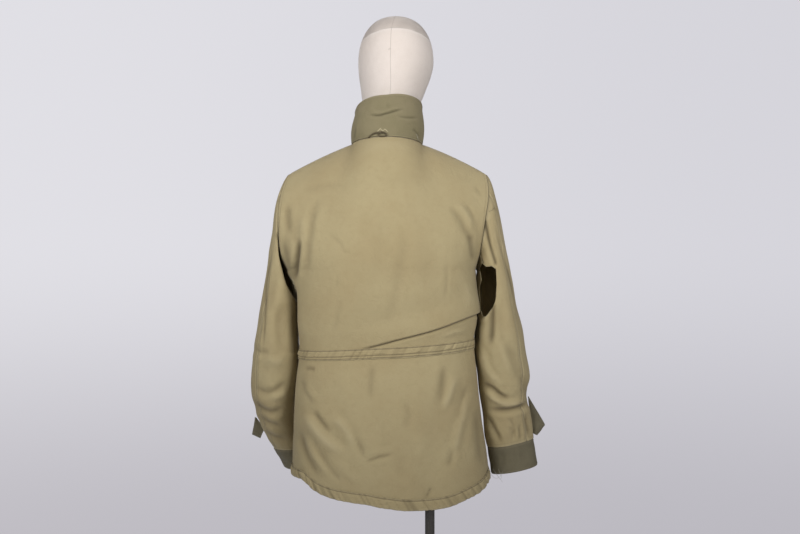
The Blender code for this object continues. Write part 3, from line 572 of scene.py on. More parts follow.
# --- Shapes that the cloth pieces lie on ------------------------------------------------------
@dataclass(frozen=True)
class BodyShape:
    """The body of the jacket, from the hem (0) over waist (1) and armpits (2) to the top (3)."""

    centre_x: float = 0.0066
    armpit_height: float = 1.185
    corner: float = 2.0 / 2.4
    flare: float = 0.0254
    flare_sharpness: float = 10.0
    flare_start: float = 1.62
    waist_height: float = 1.0125
    waist_slope: float = 0.0125
    neck_half_width: float = 0.0757
    neck_y: float = -0.010
    neck_back: float = 0.074
    neck_front: float = 0.082
    neck_height: float = 1.4615
    neck_back_rise: float = 0.006
    neck_front_drop: float = 0.050
    yoke_lift: float = 0.085
    yoke_hold: float = 5.0
    skirt_height: float = 0.315
    chest_height: float = 0.1725

    def ring(self, angle: Array, level: Array, flared: bool = True) -> Array:
        """Points round the body below the armpits.

        Args:
            angle: The turn, with 0 at the left side and a quarter turn at the back.
            level: The height, from 0 to 2.
            flared: Whether the spare cloth under the left arm is counted.

        Returns:
            Points on the body's smooth surface.
        """
        cosine, sine = np.cos(angle), np.sin(angle)
        left, right, back, front = (BODY_REACH.read(c, level) for c in BODY_REACH.columns[1:])
        x = self.centre_x + np.sign(cosine) * np.where(cosine > 0, left, right) * (
            np.abs(cosine) ** self.corner
        )
        y = np.sign(sine) * np.where(sine > 0, back, front) * np.abs(sine) ** self.corner
        if flared:
            spread = ease((level - self.flare_start) / (2.0 - self.flare_start)) ** 2
            x = x + self.flare * spread * np.maximum(cosine, 0.0) ** self.flare_sharpness
        waist = self.waist_height - self.waist_slope * cosine
        low = mix(HEM_HEIGHT.read("z", np.degrees(angle)), waist, level)
        high = mix(waist, self.armpit_height, level - 1.0)
        return points(x, y, np.where(level < 1.0, low, high))

    def armhole(self, side: Side, turn: Array) -> Array:
        """Points of an armhole's edge: turn 0 is the shoulder, 90 the back."""
        return points(*(ARMHOLE[side].read(axis, turn) for axis in "xyz"))

    def neckline(self, angle: Array) -> Array:
        """Points of the neckline.

        Args:
            angle: The turn, with 0 at the left side and a quarter turn at the back.

        Returns:
            One point for each place.
        """
        sine = np.sin(angle)
        depth = np.where(sine > 0, self.neck_back, self.neck_front)
        lift = np.where(sine > 0, self.neck_back_rise, -self.neck_front_drop)
        x = self.centre_x + self.neck_half_width * np.cos(angle)
        return points(x, self.neck_y + depth * sine, self.neck_height + lift * sine**2)

    def shoulder_seam(self, side: Side, part: Array) -> Array:
        """Points of a shoulder seam, from the armhole (0) to the neck (1).

        Args:
            side: Which shoulder.
            part: How far along the seam each point lies.

        Returns:
            One point for each place.
        """
        neck = self.neckline(np.full(1, 0.0 if side is Side.LEFT else math.pi))
        crown = 0.003 if side is Side.LEFT else 0.004
        place = mix(self.armhole(side, np.zeros(1)), neck, part[:, None])
        return place + points(0.0, 0.0, crown * 4.0 * part * (1.0 - part))

    def top_edge(self, angle: Array) -> Array:
        """The top edge above a place round the body: shoulder seams and neckline.

        Args:
            angle: The turn round the body.

        Returns:
            One point for each place.
        """
        share = np.abs(angle) / math.pi
        left = self.shoulder_seam(Side.LEFT, np.clip(share / SHOULDER_SHARE, 0.0, 1.0))
        right = self.shoulder_seam(
            Side.RIGHT, np.clip((1.0 - share) / SHOULDER_SHARE, 0.0, 1.0)
        )
        part = np.clip((share - SHOULDER_SHARE) / (1.0 - 2.0 * SHOULDER_SHARE), 0.0, 1.0)
        neck = self.neckline(np.copysign(math.pi * part, angle))
        on_left, on_right = share < SHOULDER_SHARE, share > 1.0 - SHOULDER_SHARE
        return np.where(on_left[:, None], left, np.where(on_right[:, None], right, neck))

    def yoke_line(self, angle: Array, rise: Array) -> Array:
        """The smooth line from the chest up to the top edge.

        Args:
            angle: The turn round the body.
            rise: How far up the line each point lies, from 0 to 1.

        Returns:
            One point for each place.
        """
        share = np.abs(angle) / math.pi
        fall_at = np.minimum(share, 1.0 - share)
        chest, below = np.full(len(angle), 2.0), np.full(len(angle), 1.9)
        base = self.ring(angle, chest)
        slope = self.ring(angle, chest, False) - self.ring(angle, below, False)
        top = self.top_edge(angle)
        reach, drop = YOKE.read("reach", fall_at), YOKE.read("drop", fall_at)
        lifted = base + slope * (self.yoke_lift / slope[:, 2:])
        shoulder = top + points(0.0, np.copysign(1.0, angle) * reach, -drop)
        return bezier((base, lifted, shoulder, top), rise)

    def smooth(self, angle: Array, level: Array) -> Array:
        """Points of the whole body's smooth surface.

        Args:
            angle: The turn round the body.
            level: The height, from 0 to 3.

        Returns:
            One point for each place.
        """
        angle, level = np.broadcast_arrays(np.asarray(angle, float), np.asarray(level, float))
        lower = self.ring(angle, np.minimum(level, 2.0))
        if not (level > 2.0).any():
            return lower
        rise = np.clip(level - 2.0, 0.0, 1.0)
        share = np.abs(angle) / math.pi
        spread = math.pi * np.minimum(np.minimum(share, 1.0 - share), 0.26 * rise * (1.0 - rise))
        upper = sum(
            weight * self.yoke_line(angle + step * spread, rise)
            for step, weight in zip(np.linspace(-1.0, 1.0, 7), (0.08, 0.14, 0.18, 0.2, 0.18, 0.14, 0.08))
        )
        turn = 180.0 * (1.0 - np.copysign(rise, angle))
        for side, edge, hold in (
            (Side.LEFT, 0.0, 1.0 - share),
            (Side.RIGHT, math.pi, share),
        ):
            off = self.armhole(side, turn) - self.yoke_line(np.copysign(edge, angle), rise)
            upper = upper + off * hold[:, None] ** self.yoke_hold
        return np.where((level > 2.0)[:, None], upper, lower)


BODY = BodyShape()


@dataclass(frozen=True)
class SleeveShape:
    """A sleeve, from its armhole edge (0) to the cuff seam (1)."""

    side: Side
    cap_share: float = 0.30
    cap_out: float = 0.021
    cap_drop: float = 0.015
    cap_lean: float = 0.026
    armhole_gap: float = 0.0005

    @property
    def cuff_tilt(self) -> float:
        """How much the outer end of the cuff rises, as a slope."""
        return 0.0 if self.side is Side.LEFT else 0.200

    def hoop(self, turn: Array, station: Array) -> Array:
        """Points round the sleeve; turn 0 is its outer side and 90 its back.

        Args:
            turn: The turn in degrees.
            station: How far down the sleeve, from the armpit (0) to the cuff seam (1).

        Returns:
            One point for each place.
        """
        rows = HOOPS[self.side]
        z, outer, inner, middle, half = (rows.read(c, station) for c in rows.columns[1:])
        angle = np.radians(turn)
        x = (outer + inner) / 2.0 + (outer - inner) / 2.0 * np.cos(angle)
        tilt = self.cuff_tilt * ease((station - 0.7) / 0.3)
        z = z + tilt * np.abs(outer - inner) / 2.0 * np.cos(angle)
        return points(x, middle + half * np.sin(angle), z)

    def edge(self, turn: Array) -> Array:
        """Points of the upper edge: the armhole, moved off it where the seam is torn.

        Args:
            turn: The turn in degrees.

        Returns:
            One point for each place.
        """
        torn = TORN_SEAM[self.side]
        out = self.armhole_gap + torn.read("out", turn)
        way = points(self.side.value * out, 0.0, -torn.read("down", turn))
        return BODY.armhole(self.side, turn) + way

    def smooth(self, turn: Array, along: Array) -> Array:
        """Points of the sleeve's smooth surface.

        Args:
            turn: The turn in degrees.
            along: How far down the sleeve, from its edge (0) to the cuff seam (1).

        Returns:
            One point for each place.
        """
        turn, along = np.broadcast_arrays(np.asarray(turn, float), np.asarray(along, float))
        upper = (1.0 + np.cos(np.radians(turn))) / 2.0
        start, end = self.edge(turn), self.hoop(turn, np.zeros(len(turn)))
        way = self.side.value
        leave = points(way * self.cap_out, 0.0, -self.cap_drop) * (0.25 + 0.75 * upper)[:, None]
        arrive = points(-way * self.cap_lean * upper, 0.0, 0.55 * (start - end)[:, 2])
        part = np.clip(along / self.cap_share, 0.0, 1.0)
        cap = bezier((start, start + leave, end + arrive, end), part)
        arm = self.hoop(turn, (along - self.cap_share) / (1.0 - self.cap_share))
        return np.where((along < self.cap_share)[:, None], cap, arm)


@dataclass(frozen=True)
class CollarShape:
    """The standing collar, from its left front end (0) round the back to its right (1)."""

    opening: float = math.radians(8.0)
    side_height: float = 0.066
    back_rise: float = 0.0195
    right_rise: float = 0.014
    foot: float = 0.0022
    belly: float = 0.0045
    lean_back: float = 0.010
    lean_left: float = 0.009
    gap: float = -0.0003

    def angle(self, across: Array) -> Array:
        """The turn round the neck at a place across the collar."""
        first = self.opening - math.pi / 2.0
        return mix(first, 1.5 * math.pi - self.opening, np.asarray(across, float))

    def smooth(self, across: Array, up: Array) -> Array:
        """Points of the collar's smooth surface, up from the neckline.

        Args:
            across: Places from the left front end to the right.
            up: Places up from the neckline.

        Returns:
            One point for each place.
        """
        across, up = np.broadcast_arrays(np.asarray(across, float), np.asarray(up, float))
        angle = self.angle(across)
        cosine, sine = np.cos(angle), np.sin(angle)
        back, left, right = np.maximum((sine, cosine, -cosine), 0.0)
        swell = np.sin(math.pi * np.minimum(up * 1.2, 1.0)) * np.abs(cosine)
        lean = self.lean_back * back - self.lean_left * left - 0.004 * np.maximum(-sine, 0.0)
        height = self.side_height + self.back_rise * back + self.right_rise * right
        out = self.foot + self.belly * swell + lean * up
        return BODY.neckline(angle) + points(cosine * out, sine * out, self.gap + height * up)


COLLAR = CollarShape()


# --- Shader node groups -----------------------------------------------------------------------
class Graph:
    """Adds nodes to a tree and joins them, with less writing."""

    def __init__(self, tree: bpy.types.NodeTree) -> None:
        """Keeps the tree that nodes are added to."""
        self.tree = tree

    def add(self, kind: str, settings: dict | None = None, **inputs: object) -> bpy.types.Node:
        """Adds one node.

        Args:
            kind: The node's type, without "ShaderNode".
            settings: Properties to set on the node.
            **inputs: Values, or other nodes' outputs, for inputs by name. A space in a name
                is written _ and a number after a double _ picks among inputs.

        Returns:
            The new node.
        """
        node = self.tree.nodes.new("ShaderNode" + kind)
        for name, value in (settings or {}).items():
            setattr(node, name, value)
        for name, value in inputs.items():
            title, _, index = name.partition("__")
            socket = node.inputs[int(index) if index else title.replace("_", " ")]
            if isinstance(value, bpy.types.NodeSocket):
                self.tree.links.new(value, socket)
            else:
                socket.default_value = value
        return node

    def math(self, operation: str, first: object, second: object = 0.0) -> object:
        """The output of one sum."""
        node = self.add("Math", {"operation": operation}, v__0=first, v__1=second)
        return node.outputs[0]

    def blend(self, part: object, first: object, second: object) -> object:
        """The colour between two others."""
        settings = {"data_type": "RGBA"}
        return self.add("Mix", settings, v__0=part, v__6=first, v__7=second).outputs[2]

    def step(self, value: object, low: float, high: float) -> object:
        """A value's smooth rise from 0 at low to 1 at high.

        Args:
            value: The value that is read.
            low: Where the rise starts.
            high: Where it ends.

        Returns:
            The rise's output.
        """
        settings = {"interpolation_type": "SMOOTHSTEP"}
        inputs = {"Value": value, "From_Min": low, "From_Max": high}
        return self.add("MapRange", settings, **inputs).outputs[0]


def new_group(name: str, inputs: dict[str, float | None], outputs: tuple[str, ...]) -> tuple:
    """Starts a shader node group.

    Args:
        name: The group's name.
        inputs: Each input's name and value, None for a vector.
        outputs: The names of the outputs, all single values.

    Returns:
        The graph, the group's input node and its output node.
    """
    tree = bpy.data.node_groups.new(name, "ShaderNodeTree")
    for title, value in inputs.items():
        kind = "NodeSocketVector" if value is None else "NodeSocketFloat"
        socket = tree.interface.new_socket(title, in_out="INPUT", socket_type=kind)
        if value is not None:
            socket.default_value = value
    for title in outputs:
        tree.interface.new_socket(title, in_out="OUTPUT", socket_type="NodeSocketFloat")
    start, end = tree.nodes.new("NodeGroupInput"), tree.nodes.new("NodeGroupOutput")
    return Graph(tree), start, end


def weave_group() -> bpy.types.NodeTree:
    """A plain weave: threads that pass over and under each other.

    Returns:
        The group, with the height of the threads and the gaps between them.
    """
    graph, start, end = new_group("weave", {"Place": None, "Pitch": 0.0005}, ("Height", "Gap"))
    scale = graph.math("DIVIDE", math.pi, start.outputs["Pitch"])
    wander = graph.add("TexNoise", Vector=start.outputs["Place"], Scale=90.0, Detail=2.0)
    split = graph.add("SeparateXYZ", Vector=start.outputs["Place"])
    drift = graph.math("MULTIPLY", graph.math("SUBTRACT", wander.outputs[0], 0.5), 0.0012)
    warp = graph.math("MULTIPLY", graph.math("ADD", split.outputs[0], drift), scale)
    weft = graph.math("MULTIPLY", graph.math("ADD", split.outputs[1], drift), scale)
    over = graph.math("MULTIPLY", graph.math("SINE", warp), graph.math("SINE", weft))
    across = graph.math("ABSOLUTE", graph.math("COSINE", warp))
    down = graph.math("ABSOLUTE", graph.math("COSINE", weft))
    gap = graph.math("MULTIPLY", across, down)
    height = graph.math("SUBTRACT", graph.math("ABSOLUTE", over), graph.math("MULTIPLY", gap, 0.8))
    graph.tree.links.new(height, end.inputs["Height"])
    graph.tree.links.new(gap, end.inputs["Gap"])
    return graph.tree


def mottle_group() -> bpy.types.NodeTree:
    """Broad soft patches with smaller ones in them, from 0 to 1.

    Returns:
        The group, with the broad patches and the fine flecks.
    """
    graph, start, end = new_group("mottle", {"Place": None, "Size": 0.1}, ("Patch", "Fleck"))
    scale = graph.math("DIVIDE", 1.0, start.outputs["Size"])
    place = start.outputs["Place"]
    broad = graph.add("TexNoise", Vector=place, Scale=scale, Detail=4.0, Roughness=0.55)
    finer = graph.math("MULTIPLY", scale, 9.0)
    fine = graph.add("TexNoise", Vector=place, Scale=finer, Detail=3.0, Roughness=0.65)
    graph.tree.links.new(graph.step(broad.outputs[0], 0.34, 0.68), end.inputs["Patch"])
    graph.tree.links.new(graph.step(fine.outputs[0], 0.42, 0.75), end.inputs["Fleck"])
    return graph.tree


def crumple_group() -> bpy.types.NodeTree:
    """The small dull creases of cloth that has been washed and worn.

    Returns:
        The group, with the height of the creases.
    """
    graph, start, end = new_group("crumple", {"Place": None, "Size": 0.02}, ("Height",))
    scale = graph.math("DIVIDE", 1.0, start.outputs["Size"])
    bend = graph.add("TexNoise", Vector=start.outputs["Place"], Scale=scale, Detail=2.0)
    shifted = graph.add(
        "VectorMath",
        {"operation": "MULTIPLY_ADD"},
        v__0=bend.outputs[1],
        v__1=(0.03, 0.03, 0.03),
        v__2=start.outputs["Place"],
    )
    noise = graph.add("TexNoise", Vector=shifted.outputs[0], Scale=scale, Detail=5.0)
    ridge = graph.math("ABSOLUTE", graph.math("SUBTRACT", noise.outputs[0], 0.5))
    sharp = graph.math("POWER", graph.math("SUBTRACT", 1.0, graph.math("MULTIPLY", ridge, 2.0)), 3.0)
    height = graph.math("ADD", graph.math("MULTIPLY", sharp, 0.35), noise.outputs[0])
    graph.tree.links.new(height, end.inputs["Height"])
    return graph.tree


class Groups:
    """The shader node groups, each made once."""

    weave: bpy.types.NodeTree
    mottle: bpy.types.NodeTree
    crumple: bpy.types.NodeTree

    @classmethod
    def make(cls) -> None:
        """Makes every group."""
        cls.weave, cls.mottle, cls.crumple = weave_group(), mottle_group(), crumple_group()


def place_group(graph: Graph, tree: bpy.types.NodeTree, place: object, size: float) -> dict:
    """Places a group in a material.

    Args:
        graph: The material's graph.
        tree: The group.
        place: The coordinates that it reads.
        size: Its pitch or size in metres.

    Returns:
        The group's outputs by name.
    """
    node = graph.add("Group", {"node_tree": tree}, v__0=place, v__1=size)
    return {socket.name: socket for socket in node.outputs}


def new_material(name: str) -> tuple[bpy.types.Material, Graph, bpy.types.Node]:
    """Starts a material: itself, its graph and its shader.

    Args:
        name: The material's name.

    Returns:
        The material, its graph and its shader.
    """
    material = bpy.data.materials.new(name)
    material.use_nodes = True
    return material, Graph(material.node_tree), material.node_tree.nodes["Principled BSDF"]


Colour = tuple[float, float, float]


def solid(colour: Colour, share: float = 1.0) -> tuple[float, float, float, float]:
    """A colour, made lighter or darker, with full cover."""
    return (colour[0] * share, colour[1] * share, colour[2] * share, 1.0)


# --- Finishes ---------------------------------------------------------------------------------
@dataclass(frozen=True)
class ClothFinish:
    """A woven cotton, with its weave, fading, stains, rubbed edges and small creases, and shade and
    light painted along its creases and seams.
    """

    name: str
    slot: str
    colour: Colour
    stain: Colour
    worn: Colour
    pitch: float = 0.00050
    weave_depth: float = 0.00008
    crumple_size: float = 0.022
    crumple_depth: float = 0.0011
    patch_size: float = 0.13
    patch_share: float = 0.5
    sheen: float = 0.12
    roughness: float = 0.82

    def material(self) -> bpy.types.Material:
        """The finish as a material, made once.

        Returns:
            The material.
        """
        ready = bpy.data.materials.get(self.name)
        if ready:
            return ready
        material, graph, shader = new_material(self.name)
        flat = graph.add("UVMap", {"uv_map": "cloth"}).outputs[0]
        place = graph.add("TexCoord").outputs["Object"]
        rim = graph.add("Attribute", {"attribute_name": "rim"}).outputs["Fac"]
        hollow = graph.add("Attribute", {"attribute_name": "hollow"}).outputs["Fac"]
        grime = graph.add("Attribute", {"attribute_name": "grime"}).outputs["Fac"]
        weave = place_group(graph, Groups.weave, flat, self.pitch)
        mottle = place_group(graph, Groups.mottle, place, self.patch_size)
        crumple = place_group(graph, Groups.crumple, place, self.crumple_size)
        stained = graph.math("MULTIPLY", mottle["Patch"], self.patch_share)
        tone = graph.blend(stained, solid(self.colour), solid(self.stain))
        fleck = graph.math("MULTIPLY", mottle["Fleck"], 0.16)
        tone = graph.blend(fleck, tone, solid(self.stain, 0.86))
        # painted shade where the cloth dips in its troughs; on the form, the crown cap painted darker
        tone = graph.blend(graph.math("MULTIPLY", hollow, 0.5), tone, solid(self.stain, 0.62))
        # rubbed edges, with painted light on ridges and a painted highlight below the form's crown seam
        tone = graph.blend(graph.math("MULTIPLY", rim, 0.45), tone, solid(self.worn))
        # painted shade along creases, seams, stitch lines and between puckers, and on the form's crown
        # cap
        tone = graph.blend(graph.math("MULTIPLY", grime, 0.85), tone, solid(self.stain, 0.22))
        gap = graph.math("MULTIPLY", weave["Gap"], 0.28)
        tone = graph.blend(gap, tone, solid(self.stain, 0.55))
        graph.tree.links.new(tone, shader.inputs["Base Color"])
        rough = graph.math("MULTIPLY", mottle["Fleck"], 0.08)
        rough = graph.math("ADD", rough, self.roughness)
        graph.tree.links.new(rough, shader.inputs["Roughness"])
        creased = graph.add("Bump", Strength=0.55, Distance=self.crumple_depth)
        graph.tree.links.new(crumple["Height"], creased.inputs["Height"])
        woven = graph.add("Bump", Strength=0.7, Distance=self.weave_depth)
        graph.tree.links.new(weave["Height"], woven.inputs["Height"])
        graph.tree.links.new(creased.outputs[0], woven.inputs["Normal"])
        graph.tree.links.new(woven.outputs[0], shader.inputs["Normal"])
        shader.inputs["Sheen Weight"].default_value = self.sheen
        shader.inputs["Sheen Roughness"].default_value = 0.45
        shader.inputs["Specular IOR Level"].default_value = 0.25
        return material


@dataclass(frozen=True)
class ThreadFinish:
    """Sewing thread, with its twist."""

    name: str
    colour: Colour

    def material(self) -> bpy.types.Material:
        """The finish as a material, made once.

        Returns:
            The material.
        """
        ready = bpy.data.materials.get(self.name)
        if ready:
            return ready
        material, graph, shader = new_material(self.name)
        place = graph.add("TexCoord").outputs["Object"]
        twist = graph.add("TexNoise", Vector=place, Scale=900.0, Detail=2.0).outputs[0]
        tone = graph.blend(twist, solid(self.colour, 0.72), solid(self.colour, 1.15))
        graph.tree.links.new(tone, shader.inputs["Base Color"])
        bump = graph.add("Bump", Strength=0.6, Distance=0.0002, Height=twist)
        graph.tree.links.new(bump.outputs[0], shader.inputs["Normal"])
        shader.inputs["Roughness"].default_value = 0.75
        return material


@dataclass(frozen=True)
class PlasticFinish:
    """Dull moulded plastic with fine scratches."""

    name: str = "plastic_button"
    colour: Colour = (0.13, 0.11, 0.07)

    def material(self) -> bpy.types.Material:
        """The finish as a material, made once.

        Returns:
            The material.
        """
        material, graph, shader = new_material(self.name)
        place = graph.add("TexCoord").outputs["Object"]
        mottle = place_group(graph, Groups.mottle, place, 0.006)
        tone = graph.blend(mottle["Patch"], solid(self.colour, 0.8), solid(self.colour, 1.25))
        graph.tree.links.new(tone, shader.inputs["Base Color"])
        rough = graph.math("ADD", graph.math("MULTIPLY", mottle["Fleck"], 0.2), 0.38)
        graph.tree.links.new(rough, shader.inputs["Roughness"])
        bump = graph.add("Bump", Strength=0.2, Distance=0.0002, Height=mottle["Fleck"])
        graph.tree.links.new(bump.outputs[0], shader.inputs["Normal"])
        return material


@dataclass(frozen=True)
class PaintFinish:
    """Satin paint on steel, rubbed and dusty."""

    name: str = "satin_paint"
    colour: Colour = (0.085, 0.078, 0.070)
    rubbed: Colour = (0.16, 0.155, 0.15)

    def material(self) -> bpy.types.Material:
        """The finish as a material, made once.

        Returns:
            The material.
        """
        material, graph, shader = new_material(self.name)
        place = graph.add("TexCoord").outputs["Object"]
        mottle = place_group(graph, Groups.mottle, place, 0.05)
        orange_peel = graph.add("TexNoise", Vector=place, Scale=700.0, Detail=2.0).outputs[0]
        rubbed = graph.math("MULTIPLY", mottle["Fleck"], 0.35)
        tone = graph.blend(rubbed, solid(self.colour), solid(self.rubbed))
        graph.tree.links.new(tone, shader.inputs["Base Color"])
        rough = graph.math("ADD", graph.math("MULTIPLY", mottle["Patch"], 0.18), 0.34)
        graph.tree.links.new(rough, shader.inputs["Roughness"])
        bump = graph.add("Bump", Strength=0.25, Distance=0.0002, Height=orange_peel)
        graph.tree.links.new(bump.outputs[0], shader.inputs["Normal"])
        shader.inputs["Metallic"].default_value = 0.45
        return material


@dataclass(frozen=True)
class FloorFinish:
    """A plain pale floor."""

    name: str = "pale_floor"
    colour: Colour = (0.78, 0.78, 0.795)
    glow: float = 0.22

    def material(self) -> bpy.types.Material:
        """The finish as a material, made once.

        Returns:
            The material.
        """
        material, graph, shader = new_material(self.name)
        place = graph.add("TexCoord").outputs["Object"]
        mottle = place_group(graph, Groups.mottle, place, 0.8)
        tone = graph.blend(mottle["Patch"], solid(self.colour, 0.97), solid(self.colour))
        graph.tree.links.new(tone, shader.inputs["Base Color"])
        shader.inputs["Roughness"].default_value = 0.7
        shader.inputs["Emission Color"].default_value = solid(self.colour)
        shader.inputs["Emission Strength"].default_value = self.glow
        return material


POPLIN = ClothFinish(
    "khaki_poplin",
    "poplin",
    colour=(0.405, 0.335, 0.186),
    stain=(0.350, 0.272, 0.142),
    worn=(0.470, 0.398, 0.245),
    crumple_depth=0.0017,
)
OLIVE = ClothFinish(
    "olive_sateen",
    "olive_cotton",
    colour=(0.262, 0.222, 0.130),
    stain=(0.205, 0.180, 0.095),
    worn=(0.330, 0.285, 0.175),
    pitch=0.00042,
    crumple_size=0.016,
)
DARK_OLIVE = ClothFinish(
    "olive_sateen_unfaded",
    "olive_cotton",
    colour=(0.160, 0.140, 0.088),
    stain=(0.125, 0.108, 0.066),
    worn=(0.230, 0.205, 0.135),
    pitch=0.00042,
    crumple_size=0.016,
)
LINEN = ClothFinish(
    "form_cover",
    "linen",
    colour=(0.80, 0.72, 0.66),
    stain=(0.72, 0.62, 0.54),
    worn=(0.84, 0.78, 0.74),
    pitch=0.00055,
    crumple_size=0.05,
    crumple_depth=0.0004,
    patch_size=0.2,
    patch_share=0.35,
    sheen=0.30,
)
KHAKI_THREAD = ThreadFinish("khaki_thread", (0.235, 0.190, 0.105))
PALE_THREAD = ThreadFinish("pale_thread", (0.70, 0.62, 0.40))
GREY_THREAD = ThreadFinish("grey_thread", (0.42, 0.40, 0.33))


# --- Making pieces ----------------------------------------------------------------------------
def dress(piece: bpy.types.Object, material: bpy.types.Material) -> None:
    """Gives a piece its material."""
    piece.data.materials.clear()
    piece.data.materials.append(material)


def add_piece(name: str, mesh: bpy.types.Mesh, stands_for: tuple[str, ...]) -> bpy.types.Object:
    """Places a mesh on the model's one body.

    Args:
        name: The piece's name.
        mesh: Its mesh.
        stands_for: The CAD nodes that it replaces.

    Returns:
        The new object.
    """
    piece = bpy.data.objects.new(name, mesh)
    bpy.context.scene.collection.objects.link(piece)
    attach(piece, "root")
    if stands_for:
        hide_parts(*stands_for)
    return piece


def mesh_from(bm: bmesh.types.BMesh, name: str) -> bpy.types.Mesh:
    """Turns built geometry into a mesh.

    Args:
        bm: The geometry, which is let go afterwards.
        name: The mesh's name.

    Returns:
        The mesh.
    """
    mesh = bpy.data.meshes.new(name)
    bm.to_mesh(mesh)
    bm.free()
    return mesh


def spots_of(mesh: bpy.types.Mesh) -> Array:
    """Reads where a mesh's points lie.

    Args:
        mesh: The mesh.

    Returns:
        A row of three coordinates for each point.
    """
    spot = np.empty(len(mesh.vertices) * 3)
    mesh.vertices.foreach_get("co", spot)
    return spot.reshape(-1, 3)


def lay_flat(mesh: bpy.types.Mesh, flat: Array) -> None:
    """States where each point lies on the flat cloth.

    Args:
        mesh: The mesh.
        flat: A row for each point, in metres across and along the flat cloth.
    """
    corner = np.empty(len(mesh.loops), dtype=np.int32)
    mesh.loops.foreach_get("vertex_index", corner)
    mesh.uv_layers.new(name="cloth").data.foreach_set("uv", flat[corner].ravel())


def mark_points(mesh: bpy.types.Mesh, marks: dict[str, Array]) -> None:
    """Marks a mesh's points with values that the finishes read.

    Args:
        mesh: The mesh.
        marks: A value for each point, by the mark's name.
    """
    for title, values in marks.items():
        mark = mesh.attributes.new(title, "FLOAT", "POINT")
        mark.data.foreach_set("value", values.astype(np.float32))


